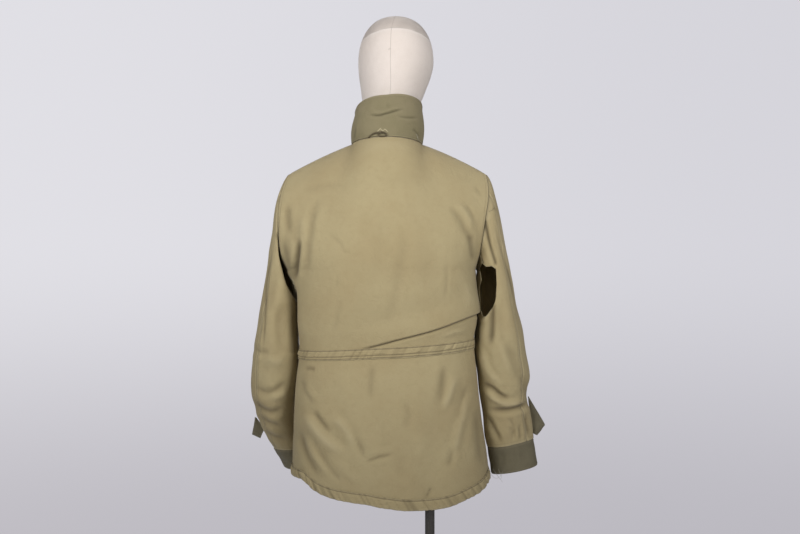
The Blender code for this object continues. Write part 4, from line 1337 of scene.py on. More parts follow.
@dataclass
class ClothPiece:
    """A sheet of cloth on a smooth surface, moved along the surface's normal by its creases.

    facing is 1 where a step across and then a step along turn right-handed about the outward
    normal. cut is the width and length of the flat cloth, and share how much of that
    rectangle the cut fills. nodes are the CAD nodes it replaces, where they aren't one node
    of its own name.
    """

    name: str
    finish: ClothFinish
    columns: Array
    rows: Array
    facing: float
    cut: tuple[float, float]
    share: float = 1.0
    held: Held = Held.HUNG
    rests_on: str = "dress_form"
    thickness: float = 0.0011
    closed: bool = False
    creases: tuple[Creases, ...] = ()
    nodes: tuple[str, ...] = ()

    def smooth(self, across: Array, along: Array) -> Array:
        """Points of the piece's smooth surface."""
        raise NotImplementedError

    def detail(self, across: Array, along: Array, place: Array, normal: Array) -> Array:
        """How far small features move the cloth, apart from its creases."""
        return np.zeros(len(place))

    def grime(self, across: Array, along: Array) -> Array:
        """The shade painted along the cloth's own lines, apart from its creases."""
        return np.zeros(len(across))

    def rim(self, across: Array, along: Array) -> Array:
        """How much the cloth is rubbed at each place, from 0 to 1."""
        edge = np.minimum(self.from_side(across), self.from_end(along))
        return np.exp(-((edge / 0.0035) ** 2))

    def open_rip(self, bm: bmesh.types.BMesh) -> None:
        """Opens a hole in the flat grid, where the piece has one."""

    @cached_property
    def arcs(self) -> tuple[Array, Array]:
        """How far each column and each row lies from the first, in metres.

        Returns:
            The columns' distances and the rows' distances.
        """
        middle = np.full(len(self.columns), 0.5 * (self.rows[0] + self.rows[-1]))
        wide = self.smooth(self.columns, middle)
        high = self.smooth(np.full(len(self.rows), 0.5 * self.columns[-1]), self.rows)
        return tuple(
            np.concatenate(([0.0], np.cumsum(np.linalg.norm(np.diff(path, axis=0), axis=1))))
            for path in (wide, high)
        )

    def flat(self, across: Array, along: Array) -> tuple[Array, Array]:
        """Where places lie on the flat cloth, in metres."""
        wide, high = self.arcs
        return np.interp(across, self.columns, wide), np.interp(along, self.rows, high)

    def from_side(self, across: Array) -> Array:
        """The distance to the nearer side edge.

        Args:
            across: Places across the piece.

        Returns:
            A distance in metres for each place.
        """
        wide = self.arcs[0]
        run = np.interp(across, self.columns, wide)
        return np.full(len(run), 1.0) if self.closed else np.minimum(run, wide[-1] - run)

    def from_end(self, along: Array) -> Array:
        """The distance to the nearer end edge.

        Args:
            along: Places along the piece.

        Returns:
            A distance in metres for each place.
        """
        high = self.arcs[1]
        run = np.interp(along, self.rows, high)
        return np.minimum(run, high[-1] - run)

    def normals(self, across: Array, along: Array) -> Array:
        """The outward normals of the smooth surface.

        Args:
            across: Places across the piece.
            along: Places along it.

        Returns:
            One normal for each place.
        """
        step = 1e-3
        first, last = across - step, across + step
        if not self.closed:
            first, last = np.maximum(first, 0.0), np.minimum(last, 1.0)
        before = np.maximum(along - step, self.rows[0])
        after = np.minimum(along + step, self.rows[-1])
        widthwise = self.smooth(last, along) - self.smooth(first, along)
        lengthwise = self.smooth(across, after) - self.smooth(across, before)
        return unit(np.cross(widthwise, lengthwise)) * self.facing

    def relief(self, across: Array, along: Array, place: Array, normal: Array) -> Array:
        """How far everything moves the cloth off the smooth surface."""
        folded = sum((group.lift(place, normal) for group in self.creases), 0.0)
        return folded + self.detail(across, along, place, normal)

    def surface(self, across: Array, along: Array, lift: float = 0.0) -> tuple[Array, Array]:
        """Points of the creased surface.

        Args:
            across: Places across the piece.
            along: Places along it.
            lift: How far off the cloth the points stand.

        Returns:
            The points, and the smooth surface's normals there.
        """
        place, normal = self.smooth(across, along), self.normals(across, along)
        off = self.relief(across, along, place, normal) + lift
        return place + normal * off[:, None], normal

    def found(self, spots: Array) -> tuple[Array, Array]:
        """The places across and along the piece that lie under spots of the camera's frame.

        Args:
            spots: Points across and down the frame.

        Returns:
            The places across the piece, and those along it.
        """
        wide, high = np.meshgrid(self.columns[::2], self.rows[::2])
        across, along = wide.ravel(), high.ravel()
        place, normal = self.surface(across, along)
        seen = LENS.seen(place) + np.where(normal[:, 1:2] < 0.05, 1e5, 0.0)
        best = np.linalg.norm(seen[None] - spots[:, None], axis=-1).argmin(1)
        across, along = across[best], along[best]
        step = 1e-3
        for _ in range(6):
            base = LENS.seen(self.surface(across, along)[0])
            wide = (LENS.seen(self.surface(across + step, along)[0]) - base) / step
            high = (LENS.seen(self.surface(across, along + step)[0]) - base) / step
            off = spots - base
            turn = wide[:, 0] * high[:, 1] - wide[:, 1] * high[:, 0]
            turn = np.where(np.abs(turn) < 1e-6, 1e-6, turn)
            more = (off[:, 0] * high[:, 1] - off[:, 1] * high[:, 0]) / turn
            further = (wide[:, 0] * off[:, 1] - wide[:, 1] * off[:, 0]) / turn
            across = np.clip(across + np.clip(more, -0.02, 0.02), 0.0, 1.0)
            along = np.clip(along + np.clip(further, -0.05, 0.05), self.rows[0], self.rows[-1])
        return across, along

    def build(self) -> bpy.types.Object:
        """Makes the piece and dresses it.

        Returns:
            The finished object.
        """
        wide, high = len(self.columns), len(self.rows)
        bm = bmesh.new()
        bmesh.ops.create_grid(bm, x_segments=wide - 1, y_segments=high - 1, size=0.5)
        bmesh.ops.translate(bm, verts=bm.verts, vec=(0.5, 0.5, 0.0))
        spot = np.array([vert.co[:2] for vert in bm.verts])
        across = np.interp(spot[:, 0], np.linspace(0.0, 1.0, wide), self.columns)
        along = np.interp(spot[:, 1], np.linspace(0.0, 1.0, high), self.rows)
        for vert, x, y in zip(bm.verts, across, along):
            vert.co = (x, y, 0.0)
        self.open_rip(bm)
        if self.facing < 0:
            bmesh.ops.reverse_faces(bm, faces=bm.faces)
        mesh = mesh_from(bm, self.name)
        self.lay(mesh)
        mesh.shade_smooth()
        piece = add_piece(f"{self.name}_cloth", mesh, self.nodes or (self.name,))
        wall = piece.modifiers.new("cloth_thickness", "SOLIDIFY")
        wall.thickness, wall.offset, wall.use_quality_normals = self.thickness, -1.0, True
        dress(piece, self.finish.material())
        made = sum(face.area for face in mesh.polygons)
        LOG.info("%s: %d faces, %.4f m2 of cloth", self.name, len(mesh.polygons), made)
        return piece

    def lay(self, mesh: bpy.types.Mesh) -> None:
        """Lays the flat grid on the creased surface and marks its rubbed rims, its painted light and its
        painted shade.

        Args:
            mesh: The flat grid, with places across and along the piece as x and y.
        """
        across, along = spots_of(mesh).T[:2]
        lay_flat(mesh, np.stack(self.flat(across, along), -1))
        place, normal = self.smooth(across, along), self.normals(across, along)
        off = self.relief(across, along, place, normal)
        mesh.vertices.foreach_set("co", (place + normal * off[:, None]).ravel())
        dirt = sum((group.dirt(place, normal) for group in self.creases), 0.0)
        dirt = dirt + self.grime(across, along)
        # rim: rubbed edges, plus light painted on ridges; the trough mark: shade painted where the cloth
        # dips; the last mark: shade painted along creases and seams
        marks = {
            "rim": np.maximum(self.rim(across, along), np.clip(-dirt, 0.0, 1.0)),
            "hollow": np.clip(-off / 0.006, 0.0, 1.0),
            "grime": np.clip(dirt, 0.0, 1.0),
        }
        mark_points(mesh, marks)
        if self.closed:
            bm = bmesh.new()
            bm.from_mesh(mesh)
            bmesh.ops.remove_doubles(bm, verts=bm.verts, dist=1e-5)
            bm.to_mesh(mesh)
            bm.free()
        mesh.update()


def rolled(distance: Array, depth: float, width: float) -> Array:
    """How far an edge is rolled in at a distance from it."""
    return -depth * np.exp(-((distance / width) ** 2))


@dataclass(kw_only=True)
class BodyPanel(ClothPiece):
    """A panel of the body, between two turns round it."""

    first: float
    last: float
    under_lap: float = 0.0
    seed: int = 1

    def angle(self, across: Array) -> Array:
        """The turn round the body at a place across the panel."""
        return mix(math.radians(self.first), math.radians(self.last), across)

    def smooth(self, across: Array, along: Array) -> Array:
        """Points of the panel's smooth surface.

        Args:
            across: Places across the piece.
            along: Places along it.

        Returns:
            One point for each place.
        """
        angle = self.angle(across)
        place = BODY.smooth(angle, along)
        if self.under_lap:
            turned = math.pi - np.abs(angle)
            under = ease((turned - math.radians(68.0)) / math.radians(14.0))
            inwards = unit(points(BODY.centre_x - place[:, 0], -place[:, 1], 0.0))
            place = place + inwards * (self.under_lap * under)[:, None]
        return place

    def detail(self, across: Array, along: Array, place: Array, normal: Array) -> Array:
        """Soft dents, gathers under the waist and puckers above the hem.

        Args:
            across: Places across the piece.
            along: Places along it.
            place: Points of the smooth surface there.
            normal: The surface's normals there.

        Returns:
            A distance in metres for each place.
        """
        run = self.flat(across, along)[0]
        side = ease(self.from_side(across) / 0.03)
        low = np.where(along < 1.0, along * BODY.skirt_height, 1.0)
        over = np.where(along > 1.0, (along - 1.0) * BODY.chest_height, 1.0)
        under = np.where(along < 1.0, (1.0 - along) * BODY.skirt_height, 1.0)
        total = Dents(self.seed, 0.085).at(place) * 0.00055
        hanging = Dents(self.seed + 3, 0.10, (1.0, 1.0, 0.25)).at(place)
        total += hanging * 0.0011 * ease((1.0 - along) / 0.3)
        total += Ripple(self.seed + 5, 0.021).at(run) * 0.0012 * np.exp(-under / 0.035)
        total += Ripple(self.seed + 6, 0.015).at(run - 0.3 * over) * 0.0008 * np.exp(-over / 0.012)
        total += Ripple(self.seed + 7, 0.0085).at(run + low) * 0.0005 * np.exp(-((low / 0.03) ** 2))
        total *= side * ease((3.0 - along) / 0.35 + 0.15)
        return total + rolled(self.from_side(across), 0.0004, 0.003)


@dataclass(kw_only=True)
class BodyStrip(ClothPiece):
    """A folded strip sewn on a body panel."""

    panel: BodyPanel
    pinned: tuple[float, ...]
    pucker: float
    pitch: float
    slant: float
    puff: float = 0.0011
    # dark is how much shade is painted in the gaps between the puckers
    dark: float = 0.35
    seed: int = 11

    def smooth(self, across: Array, along: Array) -> Array:
        """Points of the panel's smooth surface."""
        return self.panel.smooth(across, along)

    def detail(self, across: Array, along: Array, place: Array, normal: Array) -> Array:
        """Stands off the panel, held down by its lines of stitches, with puckers between.

        Args:
            across: Places across the piece.
            along: Places along it.
            place: Points of the smooth surface there.
            normal: The surface's normals there.

        Returns:
            A distance in metres for each place.
        """
        run, height = self.flat(across, along)
        held = sum(np.exp(-(((height - line) / 0.0016) ** 2)) for line in self.pinned)
        free = np.clip(1.0 - held, 0.0, 1.0)
        swell = Ripple(self.seed, self.pitch).at(run + self.slant * height)
        swell += 0.4 * Ripple(self.seed + 1, self.pitch * 0.45).at(run + 1.6 * self.slant * height)
        end = np.minimum(height, self.arcs[1][-1] - height)
        lift = 0.0014 + self.puff * free * (1.0 - np.exp(-end / 0.003))
        under = self.panel.relief(across, along, place, normal)
        return under + lift + self.pucker * swell * (0.25 + 0.75 * free)

    def grime(self, across: Array, along: Array) -> Array:
        """Painted shade along the lines of stitches, in the gaps between the puckers and at the folded
        edge.

        Args:
            across: Places across the piece.
            along: Places along it.

        Returns:
            Painted shade for each place.
        """
        run, height = self.flat(across, along)
        # painted shade: stitch lines, pucker gaps and the strip's edge
        sewn = sum(np.exp(-(((height - line) / 0.0009) ** 2)) for line in self.pinned)
        deep = np.clip(-Ripple(self.seed, self.pitch).at(run + self.slant * height) - 0.1, 0.0, 1.0)
        edge = np.exp(-(((self.arcs[1][-1] - height) / 0.0012) ** 2))
        return 0.8 * np.clip(sewn, 0.0, 1.0) + self.dark * deep + 0.3 * edge


@dataclass(kw_only=True)
class SleeveHalf(ClothPiece):
    """Half of a sleeve, between its two long seams."""

    shape: SleeveShape
    first_turn: float
    rip: Line = ()
    seed: int = 21

    def turn(self, across: Array) -> Array:
        """The turn round the sleeve at a place across the piece."""
        return self.first_turn + mix(0.35, 179.65, across)

    def smooth(self, across: Array, along: Array) -> Array:
        """Points of the piece's smooth surface."""
        return self.shape.smooth(np.mod(self.turn(across), 360.0), along)

    def detail(self, across: Array, along: Array, place: Array, normal: Array) -> Array:
        """Soft dents, rolled seams and the gathers above the cuff.

        Args:
            across: Places across the piece.
            along: Places along it.
            place: Points of the smooth surface there.
            normal: The surface's normals there.

        Returns:
            A distance in metres for each place.
        """
        run, height = self.flat(across, along)
        above = self.arcs[1][-1] - height
        total = Dents(self.seed, 0.06, (1.0, 1.0, 0.7)).at(place) * 0.0009
        total += Ripple(self.seed + 2, 0.016).at(run) * 0.0012 * np.exp(-above / 0.02)
        total *= ease(height / 0.05) * ease(self.from_side(across) / 0.02)
        total += rolled(self.from_side(across), 0.0007, 0.003)
        return total + rolled(height, 0.0003, 0.003)

    def grime(self, across: Array, along: Array) -> Array:
        """Painted shade in the long seams and round the armhole.

        Args:
            across: Places across the piece.
            along: Places along it.

        Returns:
            Painted shade for each place.
        """
        height = self.flat(across, along)[1]
        sewn = 0.22 * np.exp(-((self.from_side(across) / 0.0016) ** 2))
        return sewn + 0.5 * np.exp(-((height / 0.0022) ** 2))

    def open_rip(self, bm: bmesh.types.BMesh) -> None:
        """Tears the hole out of the grid and draws its edge onto the tear's outline.

        Args:
            bm: The flat grid, with places across and along the piece as x and y.
        """
        if not self.rip:
            return
        outline = np.array(self.rip)
        runs = np.roll(outline, -1, axis=0) - outline
        middles = np.array([face.calc_center_median()[:2] for face in bm.faces])
        place, normal = self.surface(middles[:, 0], middles[:, 1])
        away = LENS.seen(place)[:, None] - outline
        below = (away[..., 1] >= 0) != (away[..., 1] >= runs[:, 1])
        rise = np.where(runs[:, 1] == 0.0, 1.0, runs[:, 1])
        crossed = below & (away[..., 0] < away[..., 1] / rise * runs[:, 0])
        inside = (crossed.sum(1) % 2 == 1) & (normal[:, 1] > -0.1)
        torn = [face for face, gone in zip(bm.faces[:], inside) if gone]
        rim = {vert for face in torn for vert in face.verts}
        bmesh.ops.delete(bm, geom=torn, context="FACES")
        rim = [vert for vert in rim if vert.is_valid]
        spot = np.array([vert.co[:2] for vert in rim])
        away = LENS.seen(self.surface(spot[:, 0], spot[:, 1])[0])[:, None] - outline
        part = np.clip((away * runs).sum(-1) / (runs**2).sum(-1), 0.0, 1.0)
        off = part[..., None] * runs - away
        best = np.linalg.norm(off, axis=-1).argmin(1)
        aimed = (outline + part[..., None] * runs)[np.arange(len(best)), best]
        across, along = self.found(aimed)
        for vert, x, y in zip(rim, across, along):
            if abs(x - vert.co.x) < 0.03 and abs(y - vert.co.y) < 0.012:
                vert.co.x, vert.co.y = x, y


@dataclass(kw_only=True)
class Cuff(ClothPiece):
    """The folded band at a sleeve's end, all round from the sleeve's back seam."""

    shape: SleeveShape
    seed: int = 31

    def smooth(self, across: Array, along: Array) -> Array:
        """Points of the cuff's smooth surface.

        Args:
            across: Places across the piece.
            along: Places along it.

        Returns:
            One point for each place.
        """
        turn = 50.0 + 360.0 * np.asarray(across, float)
        place = self.shape.hoop(turn, mix(1.0, 1.16, np.asarray(along, float)))
        return place - np.array((0.0, 0.0, 0.0006))

    def detail(self, across: Array, along: Array, place: Array, normal: Array) -> Array:
        """Soft dents and the folded edges' stitches.

        Args:
            across: Places across the piece.
            along: Places along it.
            place: Points of the smooth surface there.
            normal: The surface's normals there.

        Returns:
            A distance in metres for each place.
        """
        end = self.from_end(along)
        total = Dents(self.seed, 0.04).at(place) * 0.0008 * ease(end / 0.02 + 0.2)
        return total + rolled(end, 0.0008, 0.002)


@dataclass(kw_only=True)
class CuffFacing(ClothPiece):
    """A facing that turns out above a cuff, as a small blade."""

    side: Side
    top: tuple[float, float]
    tip: tuple[float, float]
    foot: tuple[float, float]
    root: tuple[float, float]
    y: float

    def smooth(self, across: Array, along: Array) -> Array:
        """Points of the blade, from the sleeve (0) to its outer edge (1).

        Args:
            across: Places across the piece.
            along: Places along it.

        Returns:
            One point for each place.
        """
        across, along = np.broadcast_arrays(np.asarray(across, float), np.asarray(along, float))
        top, tip, foot, root = (np.array(c) for c in (self.top, self.tip, self.foot, self.root))
        part = along[:, None]
        out = np.array((self.side.value, 0.0)) * (1.0 - part)
        inner = mix(top, root, part) + out * 0.0035
        outer = mix(top, tip, np.minimum(part * 1.35, 1.0))
        outer = np.where(part * 1.35 > 1.0, mix(tip, foot, (part * 1.35 - 1.0) / 0.35), outer)
        place = mix(inner, outer + out * 0.006, across[:, None])
        curl = 0.007 * np.sin(math.pi * 0.8 * across) - 0.010 * across
        return points(place[:, 0], self.y + curl, place[:, 1])

    def detail(self, across: Array, along: Array, place: Array, normal: Array) -> Array:
        """A slight crumple."""
        return Dents(41, 0.02).at(place) * 0.0004


@dataclass(kw_only=True)
class Collar(ClothPiece):
    """The folded standing collar."""

    def smooth(self, across: Array, along: Array) -> Array:
        """Points of the collar's smooth surface."""
        return COLLAR.smooth(across, along)

    def detail(self, across: Array, along: Array, place: Array, normal: Array) -> Array:
        """Soft dents, with its folded edge rolled in.

        Args:
            across: Places across the piece.
            along: Places along it.
            place: Points of the smooth surface there.
            normal: The surface's normals there.

        Returns:
            A distance in metres for each place.
        """
        run, height = self.flat(across, along)
        total = Dents(51, 0.045).at(place) * 0.0006
        total += Ripple(52, 0.013).at(run) * 0.0006 * np.exp(-height / 0.006)
        total += rolled(self.arcs[1][-1] - height, 0.0009, 0.0022)
        return total + rolled(self.from_side(across), 0.0009, 0.0022)


# --- Creases, each placed one by one ----------------------------------------------------------
BACK_CREASES = Creases(
    LENS,
    (
        # the cloth that hangs over the waist
        Crease(
            ((350, 349), (366, 346), (381, 343), (395, 339), (415, 334), (430, 330), (445, 325),
             (460, 319), (477, 312)),
            0.0050, 13, 1.3, open_end=True,
        ),
        Crease(
            ((364, 349.6), (381, 345), (395, 341), (415, 336), (430, 332), (445, 327),
             (460, 321.6), (477, 314.6)),
            -0.0014, 1.2, 1.6, open_start=True, open_end=True, grime=(0.95, 0.7),
        ),
        Crease(((355, 351), (361, 354), (366, 350)), -0.0012, 1.2, 1.4, grime=(0.7, 0.8)),
        Crease(((440, 338), (452, 333), (468, 330)), 0.0014, 2.4, 2.4, grime=(-0.3, 2)),
        # the skirt, left
        Crease(((301, 411), (314, 427), (327, 441), (345, 456)), 0.0072, 3.6, 8, grime=(-1.0, 4)),
        Crease(((312, 409), (321, 422), (330, 434)), -0.0034, 3.0, 3.4, grime=(0.40, 2.0)),
        Crease(((303, 385), (317, 403)), 0.0020, 3.5, 4.0),
        Crease(((300, 376), (306, 392), (316, 406)), -0.0018, 3.0, 3.0, grime=(0.2, 2.0)),
        Crease(((304, 369), (310, 368.6), (316, 370)), -0.0022, 2.0, 2.4, grime=(0.4, 1.8)),
        Crease(((329, 413), (347, 431), (357, 449)), 0.0046, 3.6, 5.0, grime=(-0.8, 3.0)),
        Crease(
            ((345, 424), (355, 438), (361, 448), (365, 461)),
            -0.0032, 3.4, 4, grime=(0.35, 2.0),
        ),
        Crease(((332, 416), (340, 421)), -0.0012, 1.8, 1.8, grime=(0.4, 0.9)),
        Crease(((364, 463), (374, 458.6), (394, 453)), -0.0024, 2.0, 3.0, grime=(0.5, 1.2)),
        Crease(((298, 428), (306, 455), (322, 482)), -0.0026, 3.4, 3.4, grime=(0.30, 2.4)),
        Crease(((303, 430), (312, 452), (332, 478)), 0.0024, 3.4, 3.4, grime=(-0.4, 2.2)),
        Crease(((316, 448), (328, 466), (344, 484)), -0.0020, 3.0, 3.0, grime=(0.25, 2.0)),
        Crease(((336, 460), (348, 474), (360, 486)), 0.0018, 3.4, 3.4, grime=(-0.3, 2.2)),
        Crease(((373, 362), (371, 382), (370.5, 402)), -0.0026, 4.5, 4.5, grime=(0.22, 3.0)),
        Crease(((341, 372), (346, 392), (343, 412)), 0.0014, 7.0, 7.0),
        Crease(((378, 418), (384, 440), (377, 452)), -0.0012, 4.0, 4.0),
        # the skirt, right
        Crease(((444, 362), (443, 386), (440, 411)), -0.0028, 4.0, 4.0, grime=(0.28, 2.6)),
        Crease(((457, 374), (450, 393), (442, 412)), 0.0042, 4.0, 5.0, grime=(-0.8, 3.0)),
        Crease(((468, 381), (462, 403.5), (458.5, 426)), -0.0028, 3.6, 4.0, grime=(0.22, 2.4)),
        Crease(((466, 392), (462, 418), (452, 462)), 0.0028, 3.6, 4.0, grime=(-0.6, 2.6)),
        Crease(((454, 446), (451, 458), (447, 468)), -0.0024, 3.4, 3.4, grime=(0.30, 2.2)),
        Crease(((476, 404), (479, 440), (483, 470)), -0.0024, 4.0, 4.0, grime=(0.2, 2.6)),
        Crease(((403, 398), (408, 414), (404, 432)), -0.0014, 4.0, 4.0, grime=(0.12, 3.0)),
        Crease(((412, 430), (420, 446), (416, 462)), 0.0012, 5.0, 5.0),
        Crease(((404, 452), (400, 468), (406, 484)), -0.0014, 5.0, 5.0),
        Crease(((425, 500), (428, 494), (432, 486)), -0.0014, 1.5, 1.5, grime=(0.5, 0.9)),
        # the shoulders and the sides of the back
        Crease(
            ((297, 192), (312, 187), (330, 185), (348, 185)),
            -0.0010, 3.0, 4.0, grime=(0.04, 3.0),
        ),
        Crease(
            ((326, 196), (316, 205), (311, 224), (308, 244), (306, 282)),
            -0.0024, 3.4, 4.4, grime=(0.14, 2.8),
        ),
        Crease(((300, 214), (303, 228), (303, 246)), 0.0022, 4.0, 4.0, grime=(-0.3, 3.0)),
        Crease(((288, 201), (287, 216), (289, 236)), -0.0030, 3.4, 3.4, grime=(0.28, 2.4)),
        Crease(((298.5, 235), (297.4, 252), (294, 284)), -0.0064, 2.4, 3.0, grime=(0.85, 2.4)),
        Crease(((282, 236), (288, 262), (294, 284)), -0.0010, 3.0, 3.0, grime=(0.4, 3.0)),
        Crease(
            ((447, 205), (459, 216), (466, 229), (475, 245)),
            -0.0028, 3.4, 4.0, grime=(0.16, 2.4),
        ),
        Crease(((455, 203), (466, 214), (474, 230)), 0.0022, 3.0, 3.0, grime=(-0.3, 2.0)),
        Crease(((465, 203), (471, 211), (476, 221)), -0.0014, 2.2, 2.2, grime=(0.14, 1.6)),
        Crease(
            ((471, 238), (472, 250), (474, 262)),
            -0.0020, 3.0, 3.0, open_start=True, grime=(0.40, 2.6),
        ),
        Crease(((475, 185), (482, 196)), -0.0012, 2.0, 2.0, grime=(0.10, 1.2)),
        Crease(((446, 262), (447, 280), (445, 302)), -0.0010, 2.0, 2.4, grime=(0.14, 1.3)),
        Crease(((352, 172), (392, 178), (436, 170)), -0.0010, 8.0, 8.0),
        Crease(
            ((397, 217), (403, 238), (400, 266), (391, 308), (384, 336)),
            -0.0012, 5, 5, grime=(0.05, 4),
        ),
        Crease(((384, 206), (377, 250), (373, 298)), -0.0009, 5.0, 5.0),
        Crease(
            ((326, 231), (340, 243), (344, 251), (352, 254)),
            -0.0009, 1.8, 2.2, grime=(0.12, 1.2),
        ),
        Crease(((337, 272), (338, 281), (335, 290)), -0.0008, 2.0, 2.0, grime=(0.1, 1.4)),
        Crease(((341, 296), (337, 316), (332, 338)), -0.0011, 3.6, 3.6, grime=(0.05, 2.6)),
        Crease(((330, 262), (344, 292), (340, 326)), 0.0010, 8.0, 8.0),
        Crease(((418, 232), (428, 262), (424, 300)), -0.0012, 8.0, 8.0),
        Crease(((466, 280), (470, 296), (472, 308)), 0.0016, 4.0, 4.0, grime=(-0.4, 4.0)),
        Crease(((302, 306), (300, 322), (306, 338)), 0.0014, 4.0, 4.0, grime=(-0.3, 3.4)),
        # painted light below the neck
        Crease(((356, 150), (388, 144), (416, 149)), 0.0, 1.0, 1.0, grime=(-0.5, 5.0)),
    ),
)
FRONT_CREASES = Creases(
    FRONT_SIGHT,
    (
        # the cloth that hangs over the waist
        Crease(((20, -532), (45, -526), (75, -519)), 0.0062, 14, 4.5),
        Crease(((-75, -533), (-52, -528), (-28, -523)), 0.0062, 14, 4.5),
        Crease(((18, -524), (50, -517), (74, -512)), -0.0018, 3.0, 3.0),
        # the skirt
        Crease(((76, -452), (60, -428), (39, -399)), 0.0052, 7.0, 7.0),
        Crease(((80, -440), (68, -420), (60, -402)), -0.0034, 4.0, 4.0),
        Crease(((-76, -452), (-64, -430), (-49, -404)), 0.0052, 7.0, 7.0),
        Crease(((-84, -446), (-76, -420), (-72, -396)), -0.0036, 4.5, 4.5),
        Crease(((34, -492), (31, -460), (36, -430)), -0.0020, 4.5, 4.5),
        Crease(((-30, -488), (-26, -455), (-31, -420)), 0.0022, 4.5, 4.5),
        Crease(((14, -470), (12, -430), (16, -390)), -0.0016, 4.0, 4.0),
        # the chest
        Crease(((86, -628), (82, -598), (79, -562)), -0.0050, 6.5, 6.5),
        Crease(((-84, -628), (-80, -598), (-78, -562)), -0.0050, 6.5, 6.5),
        Crease(((52, -690), (72, -655), (90, -622)), -0.0026, 5.0, 5.0),
        Crease(((-48, -694), (-66, -662), (-86, -628)), -0.0030, 5.5, 5.5),
        Crease(((20, -700), (34, -684), (42, -660)), -0.0016, 4.0, 4.0),
        Crease(((-24, -698), (-30, -676), (-28, -650)), 0.0016, 4.0, 4.0),
        Crease(((10, -657), (24, -650), (36, -652)), -0.0016, 2.6, 2.6),
        Crease(((8, -574), (26, -566), (48, -570)), -0.0018, 3.0, 3.0),
        Crease(((44, -612), (52, -588), (50, -560)), 0.0020, 6.0, 6.0),
        Crease(((-50, -606), (-46, -580), (-52, -552)), 0.0020, 6.0, 6.0),
    ),
)
